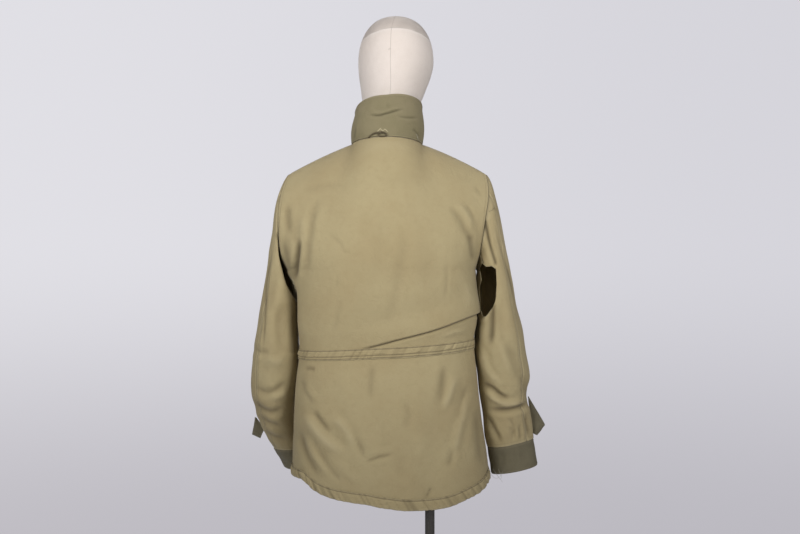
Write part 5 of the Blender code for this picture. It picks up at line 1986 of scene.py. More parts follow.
SLEEVE_CREASES = {
    Side.LEFT: (
        Creases(
            LENS,
            (
                Crease(((281, 262), (272, 290), (268, 318)), -0.0030, 5.0, 5.0),
                Crease(
                    ((275, 240), (266, 285), (265, 320), (263.5, 345), (262.5, 362)),
                    -0.0014, 1.4, 1.4, grime=(0.5, 0.8),
                ),
                Crease(((252, 346), (262, 352), (270, 350)), -0.0022, 3.0, 4.0, grime=(0.2, 1.4)),
                Crease(((266, 356), (276, 362), (287, 358)), 0.0026, 4.0, 5.0, grime=(-0.4, 3.0)),
                Crease(
                    ((254, 384), (264, 392), (276, 390), (288, 380)),
                    -0.0034, 3.4, 4.0, grime=(0.3, 1.5),
                ),
                Crease(((270, 398), (280, 396), (288, 390)), 0.0026, 3.4, 3.4, grime=(-0.4, 2.4)),
                Crease(
                    ((252, 398), (260, 408), (272, 412), (286, 406)),
                    -0.0040, 3, 4, grime=(0.4, 1.8),
                ),
                Crease(((258, 414), (268, 422), (284, 428)), -0.0034, 3.0, 3.6, grime=(0.3, 1.5)),
                Crease(((264, 430), (274, 437), (290, 441)), -0.0024, 2.6, 3.0, grime=(0.2, 1.4)),
                # shade painted on the sleeve's inner side, with no crease
                Crease(
                    ((286, 262), (290, 290), (293, 320), (293, 350)),
                    0.0, 1, 1, open_start=True, open_end=True, grime=(0.55, 4.0),
                ),
                Crease(((277, 231), (280, 240), (283, 248)), -0.0024, 2.6, 3.0, grime=(0.7, 2.6)),
                Crease(((286, 205), (280, 232), (270, 262)), 0.0020, 5.0, 5.0),
                Crease(((282, 300), (279, 330), (284, 358)), -0.0032, 5.0, 5.0),
                Crease(((262, 330), (258, 356), (256, 384)), 0.0016, 4.0, 4.0),
            ),
        ),
        Creases(
            FRONT_SIGHT,
            (
                Crease(((104, -520), (126, -498), (150, -492)), -0.0046, 5.5, 5.5),
                Crease(((110, -470), (130, -458), (152, -462)), -0.0050, 5.5, 5.5),
                Crease(((108, -436), (128, -428), (148, -432)), -0.0042, 4.5, 4.5),
                Crease(((104, -408), (120, -402), (138, -406)), -0.0030, 3.5, 3.5),
                Crease(((112, -452), (132, -444), (150, -448)), 0.0028, 4.0, 4.0),
                Crease(((112, -640), (122, -604), (132, -572)), -0.0030, 5.0, 5.0),
                Crease(((126, -660), (134, -620), (142, -580)), 0.0020, 5.5, 5.5),
            ),
        ),
    ),
    Side.RIGHT: (
        Creases(
            LENS,
            (
                Crease(
                    ((485, 222), (489, 243), (496, 263)),
                    -0.0034, 1.8, 2.6, open_start=True, open_end=True, grime=(0.95, 1.4),
                ),
                Crease(((481, 345), (488, 372), (505, 387)), 0.0036, 3.0, 4.4, grime=(-0.7, 2.6)),
                Crease(
                    ((480, 382), (492, 388.5), (501.6, 396), (512, 399)),
                    -0.0060, 2.2, 3.2, grime=(0.6, 1.6),
                ),
                Crease(
                    ((484, 390), (495, 399.5), (508, 404), (527, 400)),
                    0.0040, 3, 3, grime=(-0.8, 2.0),
                ),
                Crease(
                    ((486, 407), (497, 410.5), (510, 410), (524, 405), (528, 396)),
                    -0.0056, 2.2, 3.2, grime=(0.6, 1.5),
                ),
                Crease(((506, 340), (514, 362), (520, 386)), -0.0026, 6.0, 6.0, grime=(0.2, 5.0)),
                Crease(((498, 338), (505, 360), (514, 380)), 0.0020, 3.4, 3.4, grime=(-0.3, 2.0)),
                Crease(((486, 413), (494, 428), (503, 445)), -0.0038, 2.2, 3.0, grime=(0.5, 1.5)),
                Crease(((508, 416), (514, 428), (512, 440)), -0.0022, 2.0, 2.6, grime=(0.3, 1.2)),
                # shade painted beside the rip, with no crease
                Crease(
                    ((479, 250), (479.6, 280), (480.4, 300), (480, 317)),
                    0.0, 1, 1, open_start=True, open_end=True, grime=(0.9, 2.2),
                ),
                Crease(((478, 314), (477.5, 330), (478, 348)), -0.0020, 2.4, 2.4, grime=(0.9, 2.2)),
                Crease(
                    ((491, 306), (491, 326), (490, 348)),
                    -0.0044, 3.0, 3.0, open_start=True, grime=(0.7, 3.0),
                ),
                Crease(
                    ((479, 315), (484, 320), (494, 301)),
                    0.0012, 1.6, 1.6, open_start=True, open_end=True, grime=(-0.8, 1.2),
                ),
                Crease(
                    ((494, 219), (500, 244), (509, 275.6), (516, 311)),
                    -0.0012, 1.2, 1.2, grime=(0.7, 0.7),
                ),
                Crease(
                    ((497, 222), (503, 246), (512, 276), (518, 306)),
                    0.0010, 1.6, 1.6, grime=(-0.4, 1.0),
                ),
                Crease(((521, 373), (526, 388), (530, 403)), -0.0040, 4.0, 4.0),
                Crease(((525, 414), (528, 426), (530, 437)), -0.0046, 2.4, 2.4, grime=(0.3, 1.0)),
                Crease(((518, 424), (520, 432), (521, 441)), -0.0026, 2.0, 2.0, grime=(0.25, 1.0)),
                Crease(((508, 426), (513, 434), (514, 442)), -0.0024, 2.4, 2.4),
                Crease(((505, 300), (512, 330), (516, 358)), 0.0022, 5.5, 5.5),
                # light painted on the sleeve, with no crease
                Crease(((497, 214), (504, 244), (510, 272)), 0.0, 1.0, 1.0, grime=(-0.9, 5.0)),
                Crease(((498, 300), (500, 330), (502, 358)), -0.0018, 5.0, 5.0),
            ),
        ),
        Creases(
            FRONT_SIGHT,
            (
                Crease(((-150, -480), (-128, -462), (-104, -466)), -0.0056, 5.0, 5.0),
                Crease(((-152, -446), (-134, -440), (-112, -446)), -0.0050, 4.5, 4.5),
                Crease(((-154, -426), (-136, -418), (-114, -424)), -0.0036, 4.0, 4.0),
                Crease(((-152, -464), (-134, -452), (-110, -455)), 0.0034, 4.0, 4.0),
                Crease(((-104, -646), (-114, -610), (-122, -570)), -0.0030, 5.0, 5.0),
                Crease(((-128, -600), (-136, -560), (-142, -520)), 0.0022, 5.5, 5.5),
            ),
        ),
    ),
}
CUFF_CREASES = Creases(
    LENS,
    (
        Crease(((500, 449), (503, 459), (501, 468)), -0.0014, 2.0, 2.0),
        Crease(((516, 447), (519, 457), (517, 467)), 0.0012, 2.4, 2.4),
        Crease(((278, 452), (283, 460), (288, 466)), -0.0014, 2.0, 2.0),
    ),
)
COLLAR_CREASES = Creases(
    LENS,
    (
        Crease(
            ((366, 114.6), (378, 115.6), (384.7, 114), (390, 112.7), (397, 110.6), (406, 108.2)),
            -0.0016, 1.0, 1.6, grime=(0.7, 0.6),
        ),
        Crease(((368, 112.4), (380, 113.2), (392, 110), (402, 107)), 0.0014, 1.8, 1.4),
        Crease(((396, 114.4), (403.7, 117.3), (420, 117.9)), -0.0014, 1.2, 1.6, grime=(0.35, 0.8)),
        Crease(((388, 104), (388.4, 110)), -0.0012, 1.8, 1.8),
        Crease(((404.4, 120), (411.4, 124.5)), 0.0008, 1.2, 1.2),
        Crease(((413, 128), (420.5, 137.4)), -0.0014, 1.4, 1.4, grime=(0.4, 0.8)),
        Crease(((358.5, 119), (356.4, 130), (353.8, 141)), 0.0012, 1.4, 1.4),
        Crease(((356.2, 127), (354.4, 140)), -0.0010, 0.9, 0.9, grime=(0.5, 0.7)),
        Crease(((372, 124), (384, 127), (398, 125)), -0.0006, 3.0, 3.0),
    ),
)


# --- Thread -----------------------------------------------------------------------------------
def new_curve(name: str, radius: float, resolution: int) -> bpy.types.Curve:
    """Starts a round curve with closed ends.

    Args:
        name: The curve's name.
        radius: Its radius in metres.
        resolution: How finely its round section is cut.

    Returns:
        The empty curve.
    """
    curve = bpy.data.curves.new(name, "CURVE")
    curve.dimensions = "3D"
    curve.bevel_depth, curve.bevel_resolution = radius, resolution
    curve.use_fill_caps = True
    return curve


def add_spline(curve: bpy.types.Curve, path: Array) -> None:
    """Adds one line of points to a curve.

    Args:
        curve: The curve.
        path: The line's points.
    """
    spline = curve.splines.new("POLY")
    spline.points.add(len(path) - 1)
    spline.points.foreach_set("co", np.column_stack((path, np.ones(len(path)))).ravel())


def thread_piece(
    curve: bpy.types.Curve, finish: ThreadFinish, nodes: tuple[str, ...] = ()
) -> bpy.types.Object:
    """Makes a piece of a curve.

    Args:
        curve: The curve, whose name the piece takes.
        finish: What the thread is made of.
        nodes: The CAD nodes that it replaces.

    Returns:
        The finished piece.
    """
    curve.materials.append(finish.material())
    return add_piece(curve.name, curve, nodes)


@dataclass
class Stitches:
    """Rows of machine stitches, which dip into the cloth at their ends."""

    name: str
    finish: ThreadFinish
    length: float = 0.0027
    gap: float = 0.0006
    radius: float = 0.00026
    rows: list[Array] = field(default_factory=list)

    def add_row(self, piece: ClothPiece, path: Line, seed: int = 1) -> None:
        """Adds a row on a piece of cloth.

        Args:
            piece: The cloth that is sewn.
            path: Corners of the row, as places across and along the piece.
            seed: What the row's small wander starts from.
        """
        corners = np.array(path, float)
        part = np.linspace(0.0, len(corners) - 1.0, 420 * (len(corners) - 1))
        across = np.interp(part, np.arange(len(corners)), corners[:, 0])
        along = np.interp(part, np.arange(len(corners)), corners[:, 1])
        line, normal = piece.surface(across, along)
        run = np.concatenate(([0.0], np.cumsum(np.linalg.norm(np.diff(line, axis=0), axis=1))))
        starts = np.arange(0.0, run[-1] - self.length, self.length + self.gap)
        starts = starts + Ripple(seed, 0.02).at(starts) * 0.0003
        shares, lifts = (0.0, 0.2, 0.5, 0.8, 1.0), (-0.0003, 0.00012, 0.0002, 0.00012, -0.0003)
        stitch = [
            np.stack([np.interp(starts + share * self.length, run, column) for column in axes])
            for share, lift in zip(shares, lifts)
            for axes in [(line + normal * lift).T]
        ]
        self.rows.append(np.array(stitch).transpose(2, 0, 1))

    def build(self) -> bpy.types.Object:
        """Makes all the stitches as one piece.

        Returns:
            The finished piece.
        """
        curve = new_curve(self.name, self.radius, 0)
        for row in self.rows:
            for stitch in row:
                add_spline(curve, stitch)
        LOG.info("%s: %d stitches", self.name, sum(len(row) for row in self.rows))
        return thread_piece(curve, self.finish)


@dataclass
class Strand:
    """Loose or decorative thread, as lines of points off the cloth that carries them."""

    name: str
    finish: ThreadFinish
    radius: float = 0.00030
    lines: list[Array] = field(default_factory=list)

    def lay(self, piece: ClothPiece, spots: Line, lifts: tuple[float, ...]) -> None:
        """Lays a line over a piece of cloth.

        Args:
            piece: The cloth under the thread.
            spots: Points of the line in the camera's frame.
            lifts: How far each point stands off the cloth, in metres.
        """
        path = rounded(spots, 5)
        high = np.interp(np.linspace(0, 1, len(path)), np.linspace(0, 1, len(lifts)), lifts)
        place, normal = piece.surface(*piece.found(path))
        self.lines.append(place + normal * high[:, None])

    def build(self) -> bpy.types.Object:
        """Makes all the lines as one piece.

        Returns:
            The finished piece.
        """
        curve = new_curve(self.name, self.radius, 2)
        for line in self.lines:
            add_spline(curve, line)
        LOG.info("%s: %d lines", self.name, len(self.lines))
        return thread_piece(curve, self.finish)


# --- The jacket -------------------------------------------------------------------------------
def joined(*runs: Array) -> Array:
    """Runs of places as one run, each place once."""
    return np.unique(np.round(np.concatenate(runs), 7))


@dataclass
class Body:
    """The back, the two fronts, and the casing and turned hem that lie on them."""

    hem_turn: float = 0.0730
    casing_low: float = 0.9635
    casing_high: float = 1.0667
    top: float = 2.9965
    right_strip_end: float = 0.8277

    def rows(self) -> Array:
        """The heights of a panel's rows of points.

        Returns:
            Heights from 0 at the hem to the top edge.
        """
        return joined(
            np.array((0.0, 0.004, 2.986)),
            np.linspace(0.010, 1.0, 78),
            np.linspace(1.0, 1.5, 50),
            np.linspace(1.5, 2.0, 22),
            np.linspace(2.0, self.top, 76),
        )

    def panels(self) -> tuple[BodyPanel, ...]:
        """The three panels.

        Returns:
            The back, the left front and the right front.
        """
        rows = self.rows()
        back = BodyPanel(
            name="back",
            finish=POPLIN,
            columns=spaced(0.58, 0.0041),
            rows=rows,
            facing=1.0,
            cut=(0.60, 0.80),
            share=0.86,
            creases=(BACK_CREASES,),
            first=0.06,
            last=179.94,
            seed=1,
        )
        left = BodyPanel(
            name="front_left",
            finish=POPLIN,
            columns=spaced(0.33, 0.0041),
            rows=rows,
            facing=-1.0,
            cut=(0.34, 0.78),
            share=0.80,
            creases=(FRONT_CREASES,),
            first=-0.06,
            last=-94.71,
            seed=2,
        )
        right = BodyPanel(
            name="front_right",
            finish=POPLIN,
            columns=spaced(0.33, 0.0041),
            rows=rows,
            facing=1.0,
            cut=(0.34, 0.78),
            share=0.80,
            creases=(FRONT_CREASES,),
            first=-179.94,
            last=-85.29,
            under_lap=0.0034,
            seed=3,
        )
        return back, left, right

    def strips(self, panel: BodyPanel) -> tuple[BodyStrip, BodyStrip]:
        """The turned hem and the drawcord casing on a panel.

        Args:
            panel: The panel that they lie on.

        Returns:
            The hem and the casing.
        """
        columns = spaced(panel.cut[0], 0.0022)
        around, hem_width = (0.47, 0.58) if panel.name == "back" else (0.25, 0.31)
        if panel.name == "front_right":
            columns = columns[columns < self.right_strip_end]
            around, hem_width = around * 0.83, hem_width * 0.83
        common = dict(finish=POPLIN, facing=panel.facing, held=Held.FOLDED, panel=panel)
        hem = BodyStrip(
            name=f"hem_turn_{panel.name}",
            columns=columns,
            rows=np.linspace(0.0, self.hem_turn, 21),
            cut=(hem_width, 0.024),
            pinned=(0.0196,),
            pucker=0.0014,
            pitch=0.0050,
            slant=0.6,
            puff=0.0014,
            dark=0.5,
            seed=panel.seed + 60,
            **common,
        )
        casing = BodyStrip(
            name=f"waist_casing_{panel.name}",
            columns=columns,
            rows=np.linspace(self.casing_low, self.casing_high, 25),
            cut=(around, 0.024),
            pinned=(0.0026, 0.0080, 0.0206),
            pucker=0.0010,
            pitch=0.0070,
            slant=-0.6,
            puff=0.0013,
            seed=panel.seed + 80,
            **common,
        )
        return hem, casing

    def build(self) -> dict[str, ClothPiece]:
        """Makes the panels and strips and their stitches.

        Returns:
            The pieces by name.
        """
        pieces: dict[str, ClothPiece] = {}
        stitches = Stitches("stitches_body", KHAKI_THREAD)
        for panel in self.panels():
            pieces[panel.name] = panel
            panel.build()
            last = 0.985 if panel.name == "back" else 0.994
            stitches.add_row(panel, ((0.014, 0.09), (0.014, 2.985)), panel.seed)
            stitches.add_row(panel, ((last, 0.09), (last, 2.985)), panel.seed + 1)
            stitches.add_row(panel, ((0.014, 2.982), (last, 2.982)), panel.seed + 2)
            for strip in self.strips(panel):
                pieces[strip.name] = strip
                strip.build()
                first, end = strip.columns[1], strip.columns[-2]
                for line in strip.pinned:
                    height = float(np.interp(line, strip.arcs[1], strip.rows))
                    path = ((first, height), (end, height))
                    stitches.add_row(strip, path, panel.seed + int(line * 1e4))
        stitches.build()
        return pieces


@dataclass
class Sleeves:
    """The two sleeves with their cuffs and turned-out facings."""

    seam_turn: float = 50.0

    def halves(self, side: Side) -> tuple[SleeveHalf, ...]:
        """The top half and the under half of a sleeve.

        Args:
            side: Which sleeve.

        Returns:
            The top half and the under half.
        """
        torn = (
            *((481.0, 255.5), (483.6, 263.5), (487, 266.8), (491, 265.8), (496, 269)),
            *((496.6, 284), (495.6, 300), (492.5, 308), (487, 316), (483, 316.5), (480.3, 309)),
            *((479.8, 297), (479.0, 288), (481.4, 280), (479.4, 268), (482.2, 262.6)),
        )
        return tuple(
            SleeveHalf(
                name=f"sleeve_{side.label}_{half}",
                finish=POPLIN,
                columns=spaced(0.20, 0.0030),
                rows=spaced(0.56, 0.0032),
                facing=-side.value,
                cut=cut,
                share=share,
                creases=SLEEVE_CREASES[side],
                nodes=tuple(f"sleeve_{side.label}_{half}_{part}" for part in parts),
                shape=SleeveShape(side),
                first_turn=first,
                rip=torn if half == "under" and side is Side.RIGHT else (),
                seed=seed + (5 if side is Side.RIGHT else 0),
                rests_on="front_left" if side is Side.LEFT else "front_right",
            )
            for half, parts, first, cut, share, seed in (
                (
                    "top",
                    ("cap", "upper", "elbow", "lower"),
                    self.seam_turn + 180.0,
                    (0.215, 0.56),
                    0.76,
                    21,
                ),
                ("under", ("upper", "elbow", "lower"), self.seam_turn, (0.19, 0.47), 0.80, 23),
            )
        )

    def cuff(self, side: Side) -> Cuff:
        """A cuff.

        Args:
            side: Which sleeve.

        Returns:
            The cuff.
        """
        return Cuff(
            name=f"cuff_{side.label}",
            finish=DARK_OLIVE,
            columns=np.linspace(0.0, 1.0, 97),
            rows=spaced(0.052, 0.0026),
            facing=-side.value,
            cut=(0.25, 0.053) if side is Side.LEFT else (0.29, 0.055),
            held=Held.FOLDED,
            closed=True,
            creases=(CUFF_CREASES,),
            shape=SleeveShape(side),
            seed=31 if side is Side.LEFT else 33,
            rests_on=f"sleeve_{side.label}_top_lower",
        )

    def facing(self, side: Side) -> CuffFacing:
        """A turned-out facing.

        Args:
            side: Which sleeve.

        Returns:
            The facing.
        """
        left = side is Side.LEFT
        return CuffFacing(
            name=f"cuff_facing_{side.label}",
            finish=DARK_OLIVE,
            columns=spaced(0.03, 0.0015),
            rows=spaced(0.07, 0.0025),
            facing=side.value,
            cut=(0.030, 0.060) if left else (0.036, 0.088),
            share=0.62,
            held=Held.FOLDED,
            side=side,
            top=(0.3075, 0.8420) if left else (-0.3038, 0.9010),
            tip=(0.3205, 0.8010) if left else (-0.3460, 0.8370),
            foot=(0.3015, 0.7925) if left else (-0.3290, 0.8140),
            root=(0.2905, 0.8170) if left else (-0.3172, 0.8200),
            y=-0.088 if left else -0.022,
            rests_on=f"cuff_{side.label}",
        )

    def build(self) -> dict[str, ClothPiece]:
        """Makes the sleeves, cuffs and facings and their stitches.

        Returns:
            The pieces by name.
        """
        pieces: dict[str, ClothPiece] = {}
        for side in Side:
            stitches = Stitches(f"stitches_sleeve_{side.label}", KHAKI_THREAD)
            for half in self.halves(side):
                pieces[half.name] = half
                half.build()
                for across in (0.035, 0.965):
                    stitches.add_row(half, ((across, 0.012), (across, 0.99)), half.seed)
                stitches.add_row(half, ((0.03, 0.989), (0.97, 0.989)), half.seed + 1)
                if not half.rip:
                    stitches.add_row(half, ((0.03, 0.012), (0.97, 0.012)), half.seed + 2)
            cuff, facing = self.cuff(side), self.facing(side)
            for piece in (cuff, facing):
                pieces[piece.name] = piece
                piece.build()
            for along in (0.06, 0.94):
                stitches.add_row(cuff, ((0.0, along), (1.0, along)), cuff.seed)
            stitches.build()
        return pieces


@dataclass
class FrayedEnds:
    """Loose threads at the torn seam, at a cuff and on the right sleeve."""

    hang_depth: float = 0.012

    def build(self, pieces: dict[str, ClothPiece]) -> None:
        """Lays the threads on the pieces that carry them.

        Args:
            pieces: The cloth pieces by name.
        """
        torn = Strand("frayed_seam_threads", PALE_THREAD, 0.00028)
        for spots, lifts in (
            (((290.5, 280), (292.5, 284), (291.5, 288), (295, 291)), (0.0002, 0.0016, 0.0006, 0.0020)),
            (((292, 278), (294.5, 282), (294, 287), (296.5, 290)), (0.0002, 0.0010, 0.0014, 0.0004)),
            (((289, 276), (290.5, 281), (293.5, 285)), (0.0002, 0.0012, 0.0004)),
        ):
            torn.lay(pieces["back"], spots, lifts)
        torn.build()
        rim = Strand("rip_frayed_edge", ThreadFinish("faded_thread", (0.42, 0.36, 0.22)), 0.00050)
        for spots in (
            ((479.6, 254.6), (481.4, 258.6), (483.0, 263.0), (486.4, 266.6)),
            ((485.6, 266.2), (489.0, 266.4), (492.0, 266.0), (495.8, 268.8)),
            ((480.4, 309.6), (483.2, 316.2), (487.0, 315.6), (492.2, 308.4)),
        ):
            rim.lay(pieces["sleeve_right_under"], spots, (0.0, 0.0007, 0.0002))
        rim.build()
        darn = Strand("sleeve_darn", ThreadFinish("brown_thread", (0.085, 0.065, 0.035)), 0.00032)
        spots = ((489, 211.6), (492.5, 209.8), (495.6, 206))
        darn.lay(pieces["sleeve_right_under"], spots, (0.0002, 0.0005, 0.0004))
        darn.build()
        hanging = Strand("cuff_loose_threads", GREY_THREAD, 0.00024)
        for spots in (
            ((489, 469), (491, 474), (495, 478), (499.5, 477), (503, 471)),
            ((493, 469), (497, 475), (502.5, 482)),
            ((498, 469), (501.5, 476), (500.5, 479)),
        ):
            hanging.lines.append(LENS.at_depth(rounded(spots, 5), self.hang_depth))
        hanging.build()


@dataclass
class Neck:
    """The collar, its hanger loop and its thread."""

    loop_radius: float = 0.0016

    def collar(self) -> Collar:
        """The collar.

        Returns:
            The collar.
        """
        return Collar(
            name="collar",
            finish=OLIVE,
            columns=spaced(0.47, 0.0022),
            rows=spaced(0.085, 0.0016),
            facing=1.0,
            cut=(0.48, 0.086),
            share=0.94,
            held=Held.FOLDED,
            creases=(COLLAR_CREASES,),
        )

    def hanger(self, collar: Collar) -> bpy.types.Object:
        """The cord loop that hangs the jacket.

        Args:
            collar: The collar that the loop lies on.

        Returns:
            The finished loop.
        """
        spots = (
            *((368.4, 138.6), (370.0, 136.6), (372.4, 134.4), (375.4, 132.8)),
            *((378.4, 132.3), (381.4, 132.0), (384.4, 132.5), (386.3, 133.9)),
            *((386.0, 135.3), (383.4, 136.4), (380.4, 136.1), (378.8, 134.9)),
            *((379.4, 133.4), (381.6, 132.4)),
        )
        path = rounded(spots, 6)
        place, normal = collar.surface(*collar.found(path))
        lift = np.interp(np.linspace(0, 1, len(path)), (0, 0.15, 0.45, 0.8, 1), (1, 2.4, 2.4, 2.4, 5))
        curve = new_curve("hanger_loop_twisted", self.loop_radius, 3)
        add_spline(curve, place + normal * (lift * 0.001)[:, None])
        cord = ThreadFinish("dark_cord", (0.105, 0.082, 0.042))
        piece = thread_piece(curve, cord, ("hanger_loop",))
        return piece

    def build(self) -> dict[str, ClothPiece]:
        """Makes the collar with what is sewn to it.

        Returns:
            The collar by its name.
        """
        collar = self.collar()
        collar.build()
        self.hanger(collar)
        stitches = Stitches("stitches_collar", ThreadFinish("olive_thread", (0.17, 0.145, 0.085)))
        for along in (0.045, 0.945):
            stitches.add_row(collar, ((0.012, along), (0.988, along)), 5)
        for across in (0.014, 0.986):
            stitches.add_row(collar, ((across, 0.05), (across, 0.94)), 6)
        stitches.build()
        zigzag = Strand("zigzag_thread", PALE_THREAD, 0.00045)
        spots = ((377.7, 131.3), (380.4, 128.5), (382.6, 131.0), (385.1, 129.1), (387.7, 131.7))
        for start, end in zip(spots, spots[1:]):
            zigzag.lay(collar, (start, end), (0.0004, 0.0010, 0.0004))
        zigzag.build()
        loose = Strand("collar_loose_thread", GREY_THREAD, 0.00035)
        loose.lay(
            collar, ((416.3, 134.0), (417.7, 139.6), (420.3, 142.0)), (0.0006, 0.002, 0.0012)
        )
        loose.build()
        return {"collar": collar}


@dataclass
class Buttons:
    """Five plain four-hole buttons on the left front's edge."""

    radius: float = 0.0105
    thickness: float = 0.0032
    rim: float = 0.0018
    hole_radius: float = 0.0009
    hole_spread: float = 0.0021
    across: float = 0.935
    levels: tuple[float, ...] = (0.28, 0.78, 1.35, 2.05, 2.62)

    def blank(self) -> bmesh.types.BMesh:
        """One button about the origin, with its face up.

        Returns:
            The button, about the origin.
        """
        bm = bmesh.new()
        bmesh.ops.create_circle(bm, segments=40, radius=self.radius - self.rim)
        for turn in (45, 135, 225, 315):
            angle = math.radians(turn)
            shift = (math.cos(angle) * self.hole_spread, math.sin(angle) * self.hole_spread, 0.0)
            bmesh.ops.create_circle(
                bm, segments=10, radius=self.hole_radius, matrix=Matrix.Translation(shift)
            )
        bmesh.ops.triangle_fill(bm, use_beauty=True, edges=bm.edges[:])
        outer = [e for e in bm.edges if e.is_boundary and e.verts[0].co.length > 0.006]
        for reach, height in (
            (self.radius - 0.0011, 0.0007),
            (self.radius - 0.0004, 0.0007),
            (self.radius, 0.0002),
            (self.radius, -0.0014),
            (self.radius - 0.0008, self.floor),
        ):
            grown = bmesh.ops.extrude_edge_only(bm, edges=outer)["geom"]
            for vert in (item for item in grown if isinstance(item, bmesh.types.BMVert)):
                flat = Vector((vert.co.x, vert.co.y)).normalized() * reach
                vert.co = (flat.x, flat.y, height)
            outer = [item for item in grown if isinstance(item, bmesh.types.BMEdge)]
        inner = [e for e in bm.edges if e.is_boundary and e.verts[0].co.length < 0.006]
        grown = bmesh.ops.extrude_edge_only(bm, edges=inner)["geom"]
        for vert in (item for item in grown if isinstance(item, bmesh.types.BMVert)):
            vert.co.z = self.floor
        last = [e for e in bm.edges if e.is_boundary]
        bmesh.ops.triangle_fill(bm, use_beauty=True, edges=last)
        bmesh.ops.recalc_face_normals(bm, faces=bm.faces[:])
        return bm

    @property
    def floor(self) -> float:
        """The height of the button's underside."""
        return 0.0007 - self.thickness

    def build(self, front: ClothPiece) -> None:
        """Makes the buttons and the thread that holds each one.

        Args:
            front: The left front, which carries them.
        """
        material = PlasticFinish().material()
        for number, level in enumerate(self.levels, 1):
            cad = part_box(f"front_button_{number}")
            middle = (Vector(cad[0]) + Vector(cad[1])) / 2.0
            place = np.array([self.across]), np.array([level])
            normal = Vector(front.normals(*place)[0])
            turn = Vector((0.0, 0.0, 1.0)).rotation_difference(normal).to_matrix().to_4x4()
            seat = Matrix.Translation(middle + normal * 0.0009) @ turn
            bm = self.blank()
            bmesh.ops.transform(bm, matrix=seat, verts=bm.verts)
            mesh = mesh_from(bm, f"front_button_{number}")
            mesh.shade_smooth()
            piece = add_piece(f"button_{number}", mesh, (f"front_button_{number}",))
            edge = piece.modifiers.new("edge", "BEVEL")
            edge.width, edge.segments, edge.limit_method = 0.00015, 2, "ANGLE"
            dress(piece, material)
            thread = Strand(f"button_{number}_thread", KHAKI_THREAD, 0.00032)
            for first, last in ((45, 225), (135, 315)):
                ends = [
                    Vector((math.cos(math.radians(a)), math.sin(math.radians(a)), 0.0))
                    * self.hole_spread
                    for a in (first, last)
                ]
                line = (
                    ends[0] + Vector((0, 0, -0.0012)),
                    ends[0] + Vector((0, 0, 0.0003)),
                    (ends[0] + ends[1]) / 2.0 + Vector((0, 0, 0.0005 + first * 4e-6)),
                    ends[1] + Vector((0, 0, 0.0003)),
                    ends[1] + Vector((0, 0, -0.0012)),
                )
                thread.lines.append(np.array([seat @ point for point in line]))
            thread.build()
        LOG.info("buttons: %d", len(self.levels))


# --- The form and its stand -------------------------------------------------------------------
@dataclass
class DressForm:
    """The limbless form: head, neck and trunk under one tight cover."""

    columns: int = 112
    rows: int = 150
    seam_radius: float = 0.00038
    crown_seam: float = 0.141

    def smooth(self, share: Array, angle: Array) -> Array:
        """Points of the form, from its crown (0) to its underside (1).

        Args:
            share: Places down from the crown.
            angle: The turn round the form.

        Returns:
            One point for each place.
        """
        cosine, sine = np.cos(angle), np.sin(angle)
        point = FORM.read("point", share)
        open_part = (share > 1e-6) & (share < 1.0 - 1e-6)
        width = np.where(open_part, FORM.read("half_width", share), 0.0)
        depth = np.where(open_part, FORM.read("half_depth", share), 0.0)
        x = FORM.read("x", share) + width * np.sign(cosine) * np.abs(cosine) ** point
        y = FORM.read("y", share) + depth * np.sign(sine) * np.abs(sine) ** point
        return points(x, y, FORM.read("z", share))

    def crown_line(self, angle: Array) -> Array:
        """How far down the crown's seam lies at each turn."""
        return self.crown_seam + 0.020 * np.cos(angle) ** 2

    def cover(self) -> bpy.types.Object:
        """The whole form, smooth and closed.

        Returns:
            The finished cover.
        """
        bm = bmesh.new()
        bmesh.ops.create_uvsphere(bm, u_segments=self.columns, v_segments=self.rows, radius=1.0)
        mesh = mesh_from(bm, "dress_form_cover")
        spot = spots_of(mesh)
        share = np.arccos(np.clip(spot[:, 2], -1.0, 1.0)) / math.pi
        angle = np.arctan2(spot[:, 1], spot[:, 0])
        place = self.smooth(share, angle)
        mesh.vertices.foreach_set("co", place.ravel())
        lay_flat(mesh, np.stack((angle * 0.09, place[:, 2]), -1))
        seam = self.crown_line(angle)
        # The cap above the crown seam is painted darker, as shade on top of the head, with a faint dusty
        # mottle; a band just below the seam gets a painted highlight.
        cap = 1.0 - ease((share - seam + 0.002) / 0.004)
        marks = {
            "hollow": 0.95 * cap,
            "rim": np.exp(-(((share - seam - 0.006) / 0.005) ** 2)),
            "grime": (0.20 + 0.10 * Dents(71, 0.03).at(place)) * cap,
        }
        mark_points(mesh, marks)
        mesh.shade_smooth()
        mesh.update()
        piece = add_piece("dress_form_cover", mesh, ("dress_form",))
        dress(piece, LINEN.material())
        return piece

    def seams(self) -> bpy.types.Object:
        """The cover's seams: front, back, both sides and across the crown.

        Returns:
            The finished seams.
        """
        curve = new_curve("dress_form_seams", self.seam_radius, 2)
        lines = []
        for angle, first, last in (
            (math.pi / 2, 0.03, 0.93),
            (-math.pi / 2, 0.03, 0.93),
            (0.0, 0.045, 0.93),
            (math.pi, 0.045, 0.93),
        ):
            share = np.linspace(first, last, 180)
            bow = 0.13 * ease((share - 0.01) / 0.16) * (1.0 - 0.6 * ease((share - 0.24) / 0.12))
            lines.append(self.smooth(share, angle - bow * math.sin(angle)))
        turned = np.linspace(0.0, 2.0 * math.pi, 120)
        lines.append(self.smooth(self.crown_line(turned), turned))
        for line in lines:
            inwards = unit(np.array((-0.0136, -0.018, 0.0)) - line * (1, 1, 0))
            add_spline(curve, line + inwards * (self.seam_radius * 0.55))
        knot = LENS.at_depth(np.array(((388.6, 49.6), (389.8, 48.4), (391.4, 49.2))), 0.0785)
        add_spline(curve, knot)
        return thread_piece(curve, ThreadFinish("cover_seam", (0.42, 0.36, 0.31)))

    def build(self) -> None:
        """Makes the form and its seams."""
        cover = self.cover()
        self.seams()
        LOG.info("dress form: %d faces", len(cover.data.polygons))


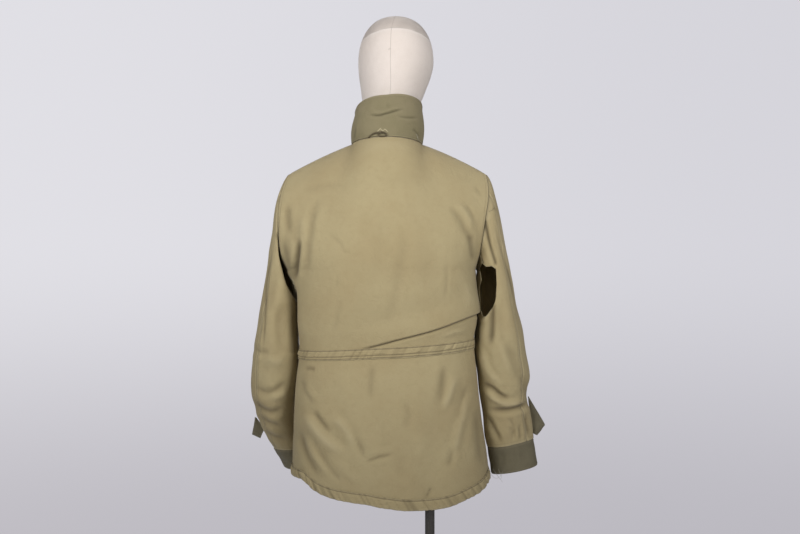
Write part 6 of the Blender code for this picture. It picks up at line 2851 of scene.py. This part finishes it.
@dataclass
class Stand:
    """The painted steel flange, pole, socket and base."""

    nodes: tuple[str, ...] = ("form_flange", "stand_pole", "pole_socket", "stand_base")

    def build(self) -> None:
        """Paints the stand's pieces."""
        paint = PaintFinish().material()
        for name in self.nodes:
            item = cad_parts[name]
            for slot in item.material_slots:
                slot.link = "OBJECT"
                slot.material = paint
            LOG.info("%s: painted", name)


# --- The room ---------------------------------------------------------------------------------
@dataclass
class Studio:
    """A plain pale floor, soft lights and the camera."""

    floor_radius: float = 1.6
    fill: float = 0.36
    low_fill: float = 0.05
    key: float = 4.5
    aim_height: float = 1.42

    def world(self) -> None:
        """A pale backdrop, painted lighter up high and on the left as the lamps' falloff on it, with its
        own strength for what it lights.
        """
        world = bpy.data.worlds.new("pale_room")
        bpy.context.scene.world = world
        world.use_nodes = True
        graph = Graph(world.node_tree)
        shader = world.node_tree.nodes["Background"]
        way = graph.add("TexCoord").outputs["Generated"]
        split = graph.add("SeparateXYZ", Vector=way)
        # painted falloff of the lamps on the backdrop
        height = graph.step(split.outputs[2], -0.33, 0.04)
        side = graph.step(split.outputs[0], -0.5, 0.5)
        right = graph.blend(height, (0.500, 0.488, 0.530, 1), (0.670, 0.663, 0.710, 1))
        left = graph.blend(height, (0.520, 0.505, 0.545, 1), (0.750, 0.743, 0.785, 1))
        tone = graph.blend(side, right, left)
        world.node_tree.links.new(tone, shader.inputs["Color"])
        seen = graph.add("LightPath").outputs["Is Camera Ray"]
        upper = graph.step(split.outputs[2], -0.5, 0.3)
        lit = graph.add("Mix", {"data_type": "FLOAT"}, v__0=upper, v__2=self.low_fill, v__3=self.fill)
        strength = graph.add("Mix", {"data_type": "FLOAT"}, v__0=seen, v__2=lit.outputs[0], v__3=1.0)
        world.node_tree.links.new(strength.outputs[0], shader.inputs["Strength"])

    def lights(self) -> None:
        """Two broad lights behind the camera and a weaker one from the front."""
        for name, place, size, power in (
            ("left_light", (1.5, 2.1, 1.86), 1.0, 1.07),
            ("right_light", (-1.5, 2.1, 1.80), 1.0, 1.01),
            ("front_light", (0.2, -2.6, 2.1), 1.5, 0.60),
        ):
            light = bpy.data.lights.new(name, "AREA")
            light.shape, light.size, light.energy = "SQUARE", size, self.key * power
            light.spread = math.radians(52.0)
            item = bpy.data.objects.new(name, light)
            item.location = place
            aim = Vector((0.0, 0.0, self.aim_height)) - Vector(place)
            item.rotation_euler = aim.to_track_quat("-Z", "Y").to_euler()
            bpy.context.scene.collection.objects.link(item)

    def floor(self) -> None:
        """A round pale floor under the stand."""
        bm = bmesh.new()
        bmesh.ops.create_circle(bm, cap_ends=True, segments=96, radius=self.floor_radius)
        item = bpy.data.objects.new("floor", mesh_from(bm, "floor"))
        bpy.context.scene.collection.objects.link(item)
        dress(item, FloorFinish().material())

    def camera(self) -> None:
        """The camera, level and behind the jacket."""
        camera = bpy.data.cameras.new("camera")
        camera.lens, camera.sensor_width = 36.0 * LENS.focal / LENS.width, 36.0
        item = bpy.data.objects.new("camera", camera)
        item.location = (LENS.x, LENS.y, LENS.z)
        item.rotation_euler = (math.radians(90.0), 0.0, math.radians(180.0))
        bpy.context.scene.collection.objects.link(item)
        bpy.context.scene.camera = item

    def build(self) -> None:
        """Sets up the room."""
        bpy.context.scene.view_settings.view_transform = "Standard"
        self.world()
        self.lights()
        self.floor()
        self.camera()


def main() -> None:
    """Builds the jacket, the form and the stand, and sets up the room."""
    logging.basicConfig(level=logging.INFO, format="%(message)s")
    Groups.make()
    pieces = Body().build()
    pieces |= Sleeves().build()
    pieces |= Neck().build()
    FrayedEnds().build(pieces)
    Buttons().build(pieces["front_left"])
    DressForm().build()
    Stand().build()
    Studio().build()


if __name__ == "__main__":
    main()
